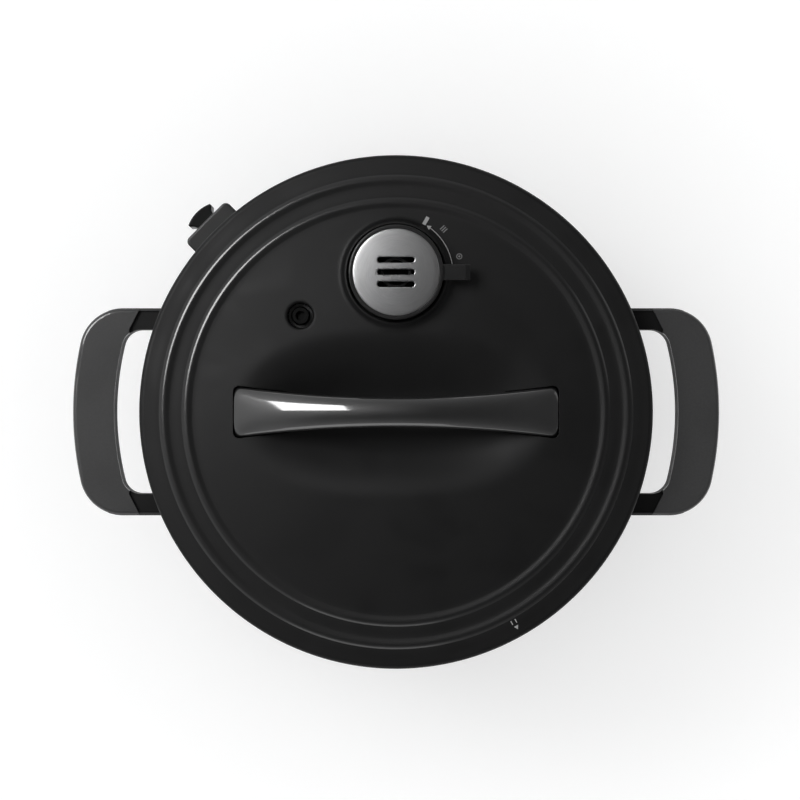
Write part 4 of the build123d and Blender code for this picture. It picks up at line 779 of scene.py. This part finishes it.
for k in range(EDGE_STEPS + 1):
    turn = pi / 2 * k / EDGE_STEPS
    outside.append((LID_R - EDGE_R + EDGE_R * sin(turn), corner_z + EDGE_R * cos(turn)))
skirt = [(LID_R, corner_z - (corner_z - SKIRT_Z) * k / BAND_STEPS) for k in range(1, BAND_STEPS)]
skirt += [(LID_R, SKIRT_Z + CHAMFER), (LID_R - CHAMFER, SKIRT_Z)]
skirt += [(LID_R - WALL + CHAMFER, SKIRT_Z), (LID_R - WALL, SKIRT_Z + CHAMFER)]
inside = [(LID_R - WALL, corner_z - 2.0), (LID_R - WALL - 1.5, corner_z - 0.3)]
inside += [(x, z - WALL) for x, z in reversed(outside[: -EDGE_STEPS - 1 : 2]) if x < LID_R - 2 * EDGE_R]
print(len(outside), "points outside,", len(inside), "inside")

# %% [markdown]
# Spinning the section a full turn with its ends merged gives a closed shell. The scoop is then pressed
# in by moving every vertex down by the scoop's depth at its place. The skin under the handle's feet is
# pressed down too, on the inside only, to leave room for their seats.

# %% Spin the section and press the scoop
LID_STEPS = 256
lid = bmesh.new()
marks = lid.verts.layers.int.new("inside")
section_verts, section_edges = draw_line(lid, outside + skirt + inside)
for vert in section_verts[len(outside) + len(skirt):]:
    vert[marks] = 1
spin_closed(lid, section_verts + section_edges, LID_STEPS)

handle_low, handle_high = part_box("lid_handle")
GRIP_END_X, GRIP_END_HALF_W, GRIP_TOP_Z = (side / MM for side in handle_high)
GRIP_FLOOR_Z = handle_low.z / MM
GRIP_INSIDE_X = GRIP_END_X - 30.0
SEAT_DROP = WALL + 7.0
INSIDE_LOWEST_Z = 232.2


def seat_press(x, y):
    """How far the inner skin is pressed down for a seat, fading out over a few millimetres."""
    beyond_x = max(GRIP_INSIDE_X - 4 - abs(x), abs(x) - GRIP_END_X - 4, 0)
    beyond_y = max(abs(y) - GRIP_END_HALF_W - 3, 0)
    return SEAT_DROP * (1 - smooth(hypot(beyond_x, beyond_y) / 6))


for vert in lid.verts:
    x, y, _ = vert.co
    vert.co.z -= scoop_drop(x, y)
    if vert[marks]:
        vert.co.z = max(vert.co.z - seat_press(x, y), INSIDE_LOWEST_Z)
print("cover shell:", len(lid.faces), "faces")

# %% [markdown]
# The cover has four openings: a seat for each foot of the handle, the well of the steam valve and the
# hole of the float valve. One Boolean takes them all. The seats are the handle's own outline made
# wider by the seam, so the dark joint line round the handle's ends has the same width all round.

# %% Cutters for the openings
GRIP_WAIST_HALF_W, GRIP_SEAM, GRIP_CORNER_R = 8.6, 0.55, 3.5
WAIST_DIP = GRIP_END_HALF_W - GRIP_WAIST_HALF_W
WAIST_R = (GRIP_END_X**2 + WAIST_DIP**2) / (2 * WAIST_DIP)
VALVE_MM = VALVE[1] / MM
FLOAT_X, FLOAT_Y = FLOAT[0] / MM, FLOAT[1] / MM
VALVE_CUT_R, FLOAT_CUT_R = 34.5, 9.4
CUTTER_HEIGHT, CUTTER_MIDDLE_Z = 60.0, 250.0


def grip_half_w(x):
    """Half the width of the handle's outline, from the waist to the wide ends."""
    return GRIP_WAIST_HALF_W + WAIST_R - sqrt(WAIST_R**2 - x * x)


cutter = bmesh.new()
for side in (-1, 1):
    start, end = GRIP_INSIDE_X - GRIP_SEAM, GRIP_END_X + GRIP_SEAM
    flat = bmesh.ops.create_grid(cutter, x_segments=6, y_segments=1, size=0.5)["verts"]
    for vert in flat:
        along = start + (end - start) * (vert.co.x + 0.5)
        half = grip_half_w(along) + GRIP_SEAM
        vert.co = Vector((side * along, half if vert.co.y > 0 else -half, GRIP_FLOOR_Z))
    outline = list({f for v in flat for f in v.link_faces})
    lifted = bmesh.ops.extrude_face_region(cutter, geom=outline)["geom"]
    bmesh.ops.translate(cutter, vec=(0, 0, 40), verts=only(bmesh.types.BMVert, lifted))
    at_end = [v for v in flat if abs(abs(v.co.x) - end) < 0.01]
    corners = [e for v in at_end for e in v.link_edges if is_upright(e)]
    round_edges(cutter, corners, GRIP_CORNER_R + GRIP_SEAM, 8)
for x, y, radius, sides in ((0, VALVE_MM, VALVE_CUT_R, 96), (FLOAT_X, FLOAT_Y, FLOAT_CUT_R, 48)):
    bmesh.ops.create_cone(
        cutter, cap_ends=True, segments=sides, radius1=radius, radius2=radius, depth=CUTTER_HEIGHT,
        matrix=Matrix.Translation((x, y, CUTTER_MIDDLE_Z)),
    )
bmesh.ops.recalc_face_normals(cutter, faces=cutter.faces)
print("cutters:", len(cutter.faces), "faces")


# %% Cut the openings
def boolean_cut(bm, knife):
    """Takes one bmesh out of another with an exact Boolean. Returns the cut bmesh."""
    pieces = []
    for name, source in (("uncut", bm), ("knife", knife)):
        mesh = bpy.data.meshes.new(name)
        source.to_mesh(mesh)
        source.free()
        pieces.append(bpy.data.objects.new(name, mesh))
        bpy.context.scene.collection.objects.link(pieces[-1])
    cut = pieces[0].modifiers.new("cut", "BOOLEAN")
    cut.operation, cut.solver, cut.object = "DIFFERENCE", "EXACT", pieces[1]
    done = bmesh.new()
    done.from_object(pieces[0], bpy.context.evaluated_depsgraph_get())
    for piece in pieces:
        mesh = piece.data
        bpy.data.objects.remove(piece)
        bpy.data.meshes.remove(mesh)
    return done


lid = boolean_cut(lid, cutter)
bmesh.ops.remove_doubles(lid, verts=lid.verts, dist=0.0005)
print("cut cover:", len(lid.faces), "faces")

# %% [markdown]
# The Boolean leaves plain walls round the valve's well and the float's hole. They are taken away again,
# and the open edge of the outer skin is extruded ring by ring: up the bezel and down into the well, and
# over the rounded lip of the float's hole. The last ring is bridged to the inner skin's open edge.


# %% Helpers for rings
def on_circle(verts, x, y, radius, slack):
    return all(abs(hypot(v.co.x - x, v.co.y - y) - radius) < slack for v in verts)


def in_outer_skin(edge):
    x, y, z = edge.verts[0].co
    return dome_z(hypot(x, y)) - z < WALL / 2


def extrude_loop(bm, loop):
    """Extrudes a loop of edges once. Returns the new vertices and the new loop."""
    made = bmesh.ops.extrude_edge_only(bm, edges=loop)["geom"]
    verts = only(bmesh.types.BMVert, made)
    fresh = set(verts)
    return verts, [e for e in only(bmesh.types.BMEdge, made) if fresh.issuperset(e.verts)]


def grow_rings(bm, ring, x, y, steps):
    """Extrudes an open edge through rings given as radius, height and how far they follow the dome."""
    level = dome_z(hypot(x, y))
    for radius, height, follow in steps:
        verts, ring = extrude_loop(bm, ring)
        for vert in verts:
            turn = atan2(vert.co.y - y, vert.co.x - x)
            vert.co.x, vert.co.y = x + radius * cos(turn), y + radius * sin(turn)
            surface = dome_z(hypot(vert.co.x, vert.co.y))
            vert.co.z = level + (surface - level) * follow + height
    return ring


def line_opening(bm, x, y, radius, steps):
    """Replaces the plain wall of a round opening with rings, from the outer skin to the inner."""
    wall = [f for f in bm.faces if on_circle(f.verts, x, y, radius, 0.1)]
    bmesh.ops.delete(bm, geom=wall, context="FACES_ONLY")
    ring = [e for e in bm.edges if e.is_boundary and on_circle(e.verts, x, y, radius, 0.2)]
    outer = [e for e in ring if in_outer_skin(e)]
    inner = [e for e in ring if not in_outer_skin(e)]
    last = grow_rings(bm, outer, x, y, steps)
    bmesh.ops.bridge_loops(bm, edges=last + inner)
    print(len(wall), "wall faces replaced,", len(outer), "and", len(inner), "open edges joined")


# %% Bezel and well of the steam valve
WELL_R, NOZZLE_HOLE_R, WELL_FLOOR = 28.2, 9.0, -3.0
WELL_UNDERSIDE = WELL_FLOOR - WALL
BEZEL = [
    (33.6, 0.02, 1.0), (32.7, 0.12, 1.0), (32.0, 0.42, 1.0), (31.4, 1.0, 0.9),
    (30.9, 1.9, 0.8), (30.4, 2.8, 0.7), (30.0, 3.45, 0.65), (29.6, 3.85, 0.6),
    (29.2, 4.05, 0.6), (28.8, 4.0, 0.6), (28.45, 3.75, 0.6), (WELL_R, 3.3, 0.6),
]
WELL = [
    (WELL_R, WELL_FLOOR + 0.4), (WELL_R - 0.4, WELL_FLOOR), (18.0, WELL_FLOOR), (NOZZLE_HOLE_R, WELL_FLOOR),
    (NOZZLE_HOLE_R, WELL_UNDERSIDE), (20.0, WELL_UNDERSIDE), (30.0, WELL_UNDERSIDE),
]
well_rings = [(radius, height, 0.0) for radius, height in WELL]
line_opening(lid, 0, VALVE_MM, VALVE_CUT_R, BEZEL + well_rings)

# %% Lip of the float valve's hole
FLOAT_LIP = [
    (8.9, -0.02), (8.4, -0.12), (8.0, -0.36), (7.7, -0.75),
    (7.52, -1.3), (7.5, -2.2), (7.5, -4.5), (8.6, -4.5),
]
lip_rings = [(radius, height, 1.0) for radius, height in FLOAT_LIP]
line_opening(lid, FLOAT_X, FLOAT_Y, FLOAT_CUT_R, lip_rings)

# %% Clean the cover and put it in place
bmesh.ops.recalc_face_normals(lid, faces=lid.faces)
loose = [e for e in lid.edges if not e.link_faces]
bmesh.ops.delete(lid, geom=loose, context="EDGES")
print("cover:", len(lid.faces), "faces,", sum(e.is_boundary for e in lid.edges), "open edges left")
cover = new_piece("cover_shell", lid, lid_plastic, "lid")
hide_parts("lid_cover")

# %% [markdown]
# ## The handle on the lid
#
# The handle is a glossy bridge: flat-sided where its feet sit in the lid, and round where the fingers
# close on it. A loop is extruded from one foot to the other. At every station it takes the handle's
# width, its top and its underside there, and its shape runs from nearly square to nearly round.

# %% Section of the handle at a station
ARCH_RISE = GRIP_TOP_Z - dome_z(GRIP_END_X) - 0.5
ARCH_R = (GRIP_END_X**2 + ARCH_RISE**2) / (2 * ARCH_RISE)
GRIP_UNDER_Z = GRIP_TOP_Z - 12.0
UNDER_RISE = GRIP_UNDER_Z - dome_z(GRIP_END_X)
UNDER_R = (GRIP_INSIDE_X**2 + UNDER_RISE**2) / (2 * UNDER_RISE)
SHOULDER_DEPTH, FOOT_POWER = 6.0, 6.0
ROUND_POWER, SQUARER, SQUARE_START_X, SQUARE_RUN = 2.0, 1.6, 77.0, 22.0


def grip_section(x, foot):
    """Half width, top and underside of the handle at a station, and the squareness of its upper half."""
    over_corner = max(abs(x) - (GRIP_END_X - GRIP_CORNER_R), 0.0)
    half = grip_half_w(x) - GRIP_CORNER_R + sqrt(GRIP_CORNER_R**2 - min(over_corner, GRIP_CORNER_R) ** 2)
    top = GRIP_TOP_Z - ARCH_R + sqrt(ARCH_R**2 - x * x)
    under = GRIP_FLOOR_Z if foot else GRIP_UNDER_Z - UNDER_R + sqrt(UNDER_R**2 - x * x)
    return half, top, under, ROUND_POWER + SQUARER * smooth((abs(x) - SQUARE_START_X) / SQUARE_RUN)


def superellipse(turn, power):
    """A point of a rounded square of half width 1: round at power 2, and squarer at a higher one."""
    return [copysign(abs(side) ** (2 / power), side) for side in (cos(turn), sin(turn))]


# %% Stations along the handle
FOOT_STEPS = (0.0, 0.25, 0.9, 1.9, 3.5, 7.0, 12.0, 18.0, 24.0, 28.5, 29.9)
SPAN_STEPS, SPAN_GAP = 40, 0.15
span_start = -GRIP_INSIDE_X + SPAN_GAP
span_step = -2 * span_start / SPAN_STEPS
left_foot = [(-GRIP_END_X + step, True) for step in FOOT_STEPS]
span = [(span_start + k * span_step, False) for k in range(SPAN_STEPS + 1)]
stations = left_foot + span + [(-x, foot) for x, foot in reversed(left_foot)]
print(len(stations), "stations")

# %% Extrude the handle
LOOP_SIDES = 48
grip = bmesh.new()
loop_verts = bmesh.ops.create_circle(grip, cap_ends=False, segments=LOOP_SIDES, radius=1.0)["verts"]
loop_turns = [atan2(v.co.y, v.co.x) for v in loop_verts]
first_edges = loop_edges = list(grip.edges)


def shape_loop(verts, x, foot):
    """The upper half has the same depth all along, so its highlight runs on over the feet unbroken."""
    half, top, under, power = grip_section(x, foot)
    shoulder = top - SHOULDER_DEPTH
    for vert, turn in zip(verts, loop_turns):
        upper = turn > 0
        across, up = superellipse(turn, power if upper or not foot else FOOT_POWER)
        depth = SHOULDER_DEPTH if upper else shoulder - under
        vert.co = Vector((x, half * across, shoulder + depth * up))


shape_loop(loop_verts, *stations[0])
for station in stations[1:]:
    fresh, loop_edges = extrude_loop(grip, loop_edges)
    fresh = set(fresh)
    for k, vert in enumerate(loop_verts):
        loop_verts[k] = next(e.other_vert(vert) for e in vert.link_edges if e.other_vert(vert) in fresh)
    shape_loop(loop_verts, *station)
bmesh.ops.edgeloop_fill(grip, edges=first_edges)
bmesh.ops.edgeloop_fill(grip, edges=loop_edges)
bmesh.ops.recalc_face_normals(grip, faces=grip.faces)
print("handle:", len(grip.faces), "faces,", sum(e.is_boundary for e in grip.edges), "open edges")
bridge = new_piece("handle_bridge", grip, grip_plastic, "lid", 50.0)
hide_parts("lid_handle")

# %% [markdown]
# ## The valve's metal cap
#
# The cap is a spun disc of satin steel with three vent slots. It is very slightly domed, and this is
# why it runs from light to dark across its face. Its section is spun about the valve's axis, the slots
# are cut by a Boolean, and their rims are bevelled, because a punched edge is rolled over.

# %% Cap of the steam valve
CAP_DOME, CAP_EDGE_R, CAP_STEPS, CAP_EDGE_STEPS, CAP_FACE = 0.95, 0.7, 12, 5, 0.965
cap_low, cap_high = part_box("valve_cap")
CAP_R = (cap_high.x - cap_low.x) / 2 / MM
CAP_LOW, CAP_TOP = cap_low.z / MM, cap_high.z / MM
cap_line = []
for k in range(CAP_STEPS + 1):
    part = k / CAP_STEPS
    cap_line.append((CAP_R * part * CAP_FACE, CAP_TOP + CAP_DOME * (0.5 - part**2)))
rim_x, rim_z = CAP_R - CAP_EDGE_R, cap_line[-1][1] - 0.03
for k in range(1, CAP_EDGE_STEPS + 1):
    turn = pi / 2 * k / CAP_EDGE_STEPS
    cap_line.append((rim_x + CAP_EDGE_R * sin(turn), rim_z - CAP_EDGE_R * (1 - cos(turn))))
cap_line += [(CAP_R, CAP_LOW), (CAP_R * 0.5, CAP_LOW), (0, CAP_LOW)]
cap = bmesh.new()
cap_verts, cap_edges = draw_line(cap, cap_line)
spin_closed(cap, cap_verts + cap_edges, 128)
print("cap's disc:", len(cap.faces), "faces")

# %% Slots of the cap
SLOT_L, SLOT_W, SLOT_PITCH, SLOT_RIM_R = 21.4, 3.3, 7.0, 0.45
punch = bmesh.new()
for row in (-1, 0, 1):
    bar = bmesh.ops.create_cube(punch, size=1.0)["verts"]
    bmesh.ops.scale(punch, vec=(SLOT_L, SLOT_W, 20), verts=bar)
    bmesh.ops.translate(punch, vec=(0, row * SLOT_PITCH, CAP_TOP), verts=bar)
    upright = [e for e in punch.edges if is_upright(e) and e.verts[0] in bar]
    round_edges(punch, upright, SLOT_W / 2 - 0.01, 10)
cap = boolean_cut(cap, punch)
bmesh.ops.remove_doubles(cap, verts=cap.verts, dist=0.0005)
sharp = [e for e in cap.edges if len(e.link_faces) == 2 and e.calc_face_angle() > 1.0]
rims = [
    e for e in sharp
    if all(v.co.z > CAP_TOP - 0.6 and hypot(v.co.x, v.co.y) < CAP_R - 2 for v in e.verts)
]
round_edges(cap, rims, SLOT_RIM_R, 4)
bmesh.ops.translate(cap, vec=(VALVE[0] / MM, VALVE_MM, 0), verts=cap.verts)
spun_cap = new_piece("spun_cap", cap, cap_steel, "steam_valve", 50.0)
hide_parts("valve_cap")
print("cap:", len(spun_cap.data.polygons), "faces,", len(rims), "rim edges bevelled")

# %% [markdown]
# ## Printed marks
#
# Marks are printed or moulded thin on the lid and on the panel. They could be drawn in a material, but
# as thin pieces they keep sharp edges at any distance. Each is drawn flat with simple shapes, laid on
# the surface vertex by vertex, and then given the thickness of a film of ink.


# %% Flat shapes for marks
def bar_shape(bm, x, y, length, width, turn=0.0, cuts=6):
    """A straight bar along an angle in degrees."""
    verts = bmesh.ops.create_grid(bm, x_segments=cuts, y_segments=1, size=0.5)["verts"]
    bmesh.ops.scale(bm, vec=(length, width, 1), verts=verts)
    bmesh.ops.rotate(bm, cent=(0, 0, 0), matrix=Matrix.Rotation(radians(turn), 3, "Z"), verts=verts)
    bmesh.ops.translate(bm, vec=(x, y, 0), verts=verts)


def arc_shape(bm, x, y, inner, outer, start, end, steps=24):
    """Part of a flat ring between two angles in degrees: one radial edge, spun."""
    first, last = radians(start), radians(end)
    verts = [bm.verts.new((x + r * cos(first), y + r * sin(first), 0)) for r in (inner, outer)]
    edge = bm.edges.new(verts)
    full = abs(end - start) > 359
    bmesh.ops.spin(
        bm, geom=verts + [edge], cent=(x, y, 0), axis=(0, 0, 1), dvec=(0, 0, 0), angle=last - first,
        steps=steps, use_merge=full, use_duplicate=False,
    )


def point_shape(bm, x, y, radius, turn, sides=3):
    """A filled triangle, or a disc with more sides, with one corner toward an angle in degrees."""
    verts = bmesh.ops.create_circle(bm, cap_ends=True, segments=sides, radius=radius)["verts"]
    toward = atan2(verts[0].co.y, verts[0].co.x)
    bmesh.ops.rotate(bm, cent=(0, 0, 0), matrix=Matrix.Rotation(radians(turn) - toward, 3, "Z"), verts=verts)
    bmesh.ops.translate(bm, vec=(x, y, 0), verts=verts)


FILM_FOOT = -0.04


def print_mark(name, bm, lay, material, body, film=0.06):
    """Lays flat shapes on a surface as a film whose foot is sunk into it a little."""
    bmesh.ops.recalc_face_normals(bm, faces=bm.faces)
    for face in bm.faces:
        if face.normal.z < 0:
            face.normal_flip()
    top = bmesh.ops.extrude_face_region(bm, geom=list(bm.faces))["geom"]
    raised = set(only(bmesh.types.BMVert, top))
    for vert in bm.verts:
        vert.co = lay(vert.co.x, vert.co.y, film if vert in raised else FILM_FOOT)
    bmesh.ops.recalc_face_normals(bm, faces=bm.faces)
    return new_piece(name, bm, material, body, 30.0)


print("mark helpers ready")


# %% Marks round the valve
def bezel_rise(from_valve):
    """How far the foot of the bezel has risen above the dome at a distance from the valve's axis."""
    table = [(VALVE_CUT_R, 0.0)] + [(radius, height) for radius, height, _ in BEZEL[:4]]
    for (r0, h0), (r1, h1) in zip(table, table[1:]):
        if r1 <= from_valve <= r0:
            return h0 + (h1 - h0) * (r0 - from_valve) / (r0 - r1)
    return 0.0


def on_dome(x, y, lift):
    height = dome_z(hypot(x, y)) - scoop_drop(x, y) + bezel_rise(hypot(x, y - VALVE_MM))
    return Vector((x, y, height + lift))


def round_valve(radius, angle):
    return radius * cos(radians(angle)), VALVE_MM + radius * sin(radians(angle))


ARC_START, ARC_END, ARC_HEAD, TICK_ANGLE, VENT_ANGLE, SEAL_ANGLE = 9, 53, 54.5, 60.5, 43, 15
turn_mark = bmesh.new()
arc_shape(turn_mark, 0, VALVE_MM, 32.8, 33.22, ARC_START, ARC_END)
point_shape(turn_mark, *round_valve(33.0, ARC_HEAD), 1.7, ARC_HEAD + 90)
bar_shape(turn_mark, *round_valve(35.2, TICK_ANGLE), 5.0, 2.1, TICK_ANGLE)
print_mark("turn_mark", turn_mark, on_dome, white_ink, "lid")
vent_sign = bmesh.new()
for offset in (-1.95, 0.0, 1.95):
    bar_shape(vent_sign, *round_valve(37.9, VENT_ANGLE + offset), 3.4, 0.6, VENT_ANGLE)
print_mark("vent_sign", vent_sign, on_dome, grey_ink, "lid")
seal_sign = bmesh.new()
seal_place = round_valve(38.0, SEAL_ANGLE)
arc_shape(seal_sign, *seal_place, 1.25, 1.75, 0, 360, 28)
point_shape(seal_sign, *seal_place, 0.6, 0, 16)
print_mark("seal_sign", seal_sign, on_dome, grey_ink, "lid")
print("three marks round the valve")

# %% [markdown]
# The mark on the rim shows where the lid sets down. It lies on the flat band outside the outer bead, so
# its height comes from the section of the cover, read between the two nearest points.


# %% Mark on the rim
def on_rim(x, y, lift):
    radius = hypot(x, y)
    for (r0, z0), (r1, z1) in zip(outside, outside[1:]):
        if r0 <= radius <= r1:
            return Vector((x, y, z0 + (z1 - z0) * (radius - r0) / (r1 - r0) + lift))


def round_lid(radius, angle):
    return radius * cos(radians(angle)), radius * sin(radians(angle))


RIM_MARK_ANGLE = -60.7
rim_mark = bmesh.new()
point_shape(rim_mark, *round_lid(143.6, RIM_MARK_ANGLE), 1.55, RIM_MARK_ANGLE)
for offset in (-0.55, 0.55):
    bar_shape(rim_mark, *round_lid(140.2, RIM_MARK_ANGLE + offset), 2.4, 0.55, RIM_MARK_ANGLE)
print_mark("rim_mark", rim_mark, on_rim, white_ink, "lid")
print("mark on the rim")

# %% [markdown]
# ## Signs on the buttons
#
# Each button carries one plain sign. A button moves along its own axis, and that axis is in the list of
# joints, so the sign is drawn flat, stood up to face along the axis, and rides on the button's body.

# %% Signs on the buttons
POT = [(bar_shape, 0, -0.8, 5.0, 3.0), (bar_shape, 0, 1.6, 6.4, 0.7), (bar_shape, 0, 2.6, 1.4, 0.7)]
HEAT = [
    (arc_shape, x, y, 0.9, 1.5, start, start + 180, 12)
    for x in (-1.9, 0.0, 1.9) for y, start in ((1.1, 90), (-1.3, -90))
]
LINES = [(bar_shape, 0, y, 6.0, 0.7) for y in (-1.6, 0.0, 1.6)]
CLOCK = [
    (arc_shape, 0, 0, 2.7, 3.3, 0, 360, 40), (bar_shape, 0, 0.9, 1.8, 0.6, 90),
    (bar_shape, 1.0, -0.25, 1.7, 0.6),
]
MINUS = [(bar_shape, 0, 0, 6.0, 0.8)]
PLUS = MINUS + [(bar_shape, 0, y, 2.2, 0.8, 90) for y in (2.0, -2.0)]
STOP = [(arc_shape, 0, 0, 3.6, 4.4, 125, 415, 40), (bar_shape, 0, 3.6, 3.4, 0.8, 90)]
START = [(point_shape, 0, 0, 4.2, 0)]
SIGNS = {
    "button_left_1": POT, "button_left_2": HEAT, "button_left_3": LINES,
    "button_right_1": CLOCK, "button_right_2": PLUS, "button_right_3": MINUS,
    "button_cancel": STOP, "button_start": START,
}
press_axis = {joint["child"]: Vector(joint["axis"]) for joint in frame["joints"] if joint["child"] in SIGNS}
for node, shapes in SIGNS.items():
    low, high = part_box(node)
    outward = -press_axis[node].normalized()
    sideways = Vector((0, 0, 1)).cross(outward)
    reach = max(Vector(v.co).dot(outward) for v in NODES[node].data.vertices) / MM
    level = (low.z + high.z) / 2 / MM

    def on_button(x, y, lift):
        return outward * (reach + lift) + sideways * x + Vector((0, 0, level + y))

    sign = bmesh.new()
    for draw, *numbers in shapes:
        draw(sign, *numbers)
    print_mark(f"sign_{node}", sign, on_button, panel_plastic, node)
print(len(SIGNS), "signs")

# %% [markdown]
# ## Display
#
# Behind the smoked window lies a display that is switched off. Its digits still show as slightly lighter
# bars, as they do on the real thing. Seven bars make a digit, and two dots stand between the pairs.

# %% Digits of the display
module_low, module_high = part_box("display_module")
DIGIT_W, DIGIT_H, DIGIT_PITCH, SEGMENT_W = 6.4, 12.6, 9.6, 1.1
display_z = (module_low.z + module_high.z) / 2 / MM


def on_display(x, y, lift):
    return Vector((x, module_low.y / MM - lift, display_z + y))


digits = bmesh.new()
for centre in (-1.75, -0.75, 0.75, 1.75):
    x = centre * DIGIT_PITCH
    for y in (-DIGIT_H / 2, 0, DIGIT_H / 2):
        bar_shape(digits, x, y, DIGIT_W - SEGMENT_W, SEGMENT_W, 0, 1)
    for side in (-1, 1):
        for half in (-1, 1):
            place = (x + side * DIGIT_W / 2, half * DIGIT_H / 4)
            bar_shape(digits, *place, DIGIT_H / 2 - SEGMENT_W, SEGMENT_W, 90, 1)
for y in (-DIGIT_H / 4, DIGIT_H / 4):
    point_shape(digits, 0, y, 0.8, 0, 12)
print_mark("display_digits", digits, on_display, segment_ink, "cooker")
print("display ready")

# %% [markdown]
# ## Level marks in the pot
#
# The inner pot has lines pressed into its wall, which show how full it is. Here they are thin bars that
# follow the round wall, longer at every second step.

# %% Level marks
POT_BORE_R, LEVEL_ANGLE = 110.0, 62.0
LOWEST_LEVEL, LEVEL_PITCH, LEVEL_COUNT, LONG_LINE, SHORT_LINE = 38.0, 10.0, 9, 16.0, 9.0
pot_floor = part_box("inner_pot")[0].z / MM


def on_pot_wall(x, y, lift):
    turn = radians(LEVEL_ANGLE) - x / POT_BORE_R
    radius = POT_BORE_R - lift
    return Vector((radius * cos(turn), radius * sin(turn), pot_floor + y))


levels = bmesh.new()
for step in range(LEVEL_COUNT):
    length = SHORT_LINE if step % 2 else LONG_LINE
    bar_shape(levels, length / 2, LOWEST_LEVEL + step * LEVEL_PITCH, length, 0.9, 0, 8)
bar_shape(levels, -1.2, 78, 81, 0.7, 90, 2)
print_mark("level_marks", levels, on_pot_wall, white_ink, "cooker", 0.12)
print("level marks ready")

# %% [markdown]
# ## The floor
#
# The cooker stands on a plain pale sheet. It glows a little by itself, which keeps it near white, and
# the rest of its light comes from the lamps, so the cooker still casts a soft shadow on it. Further out,
# where the lamps no longer reach, it glows more, so that it runs into the white behind it without an edge.

# %% Floor
GLOW_NEAR, GLOW_FAR, NEAR_R, FAR_R, FLOOR_HALF_W = 0.26, 0.95, 1.0, 4.0, 12.0
paper = Finish("pale_floor", Metallic=0.0, IOR=1.45)
paper.shader.inputs["Emission Color"].default_value = (1, 1, 1, 1)
fibres = paper.group(grain, Scale=700.0)["Tone"]
paper.colour(paper.tint(fibres, (0.8, 0.8, 0.8), (0.82, 0.82, 0.82)))
paper.vary(fibres, "Roughness", 0.85, 0.95)
from_middle = paper.node("ShaderNodeVectorMath", operation="LENGTH")
paper.join(paper.coords, from_middle.inputs[0])
glow = paper.vary(from_middle.outputs["Value"], "Emission Strength", GLOW_NEAR, GLOW_FAR)
paper.join(NEAR_R, glow.inputs["From Min"])
paper.join(FAR_R, glow.inputs["From Max"])
sheet = bmesh.new()
bmesh.ops.create_grid(sheet, x_segments=8, y_segments=8, size=FLOOR_HALF_W)
floor_mesh = bpy.data.meshes.new("floor")
sheet.to_mesh(floor_mesh)
sheet.free()
floor_mesh.materials.append(paper.material)
floor = bpy.data.objects.new("floor", floor_mesh)
bpy.context.scene.collection.objects.link(floor)
print("floor ready")
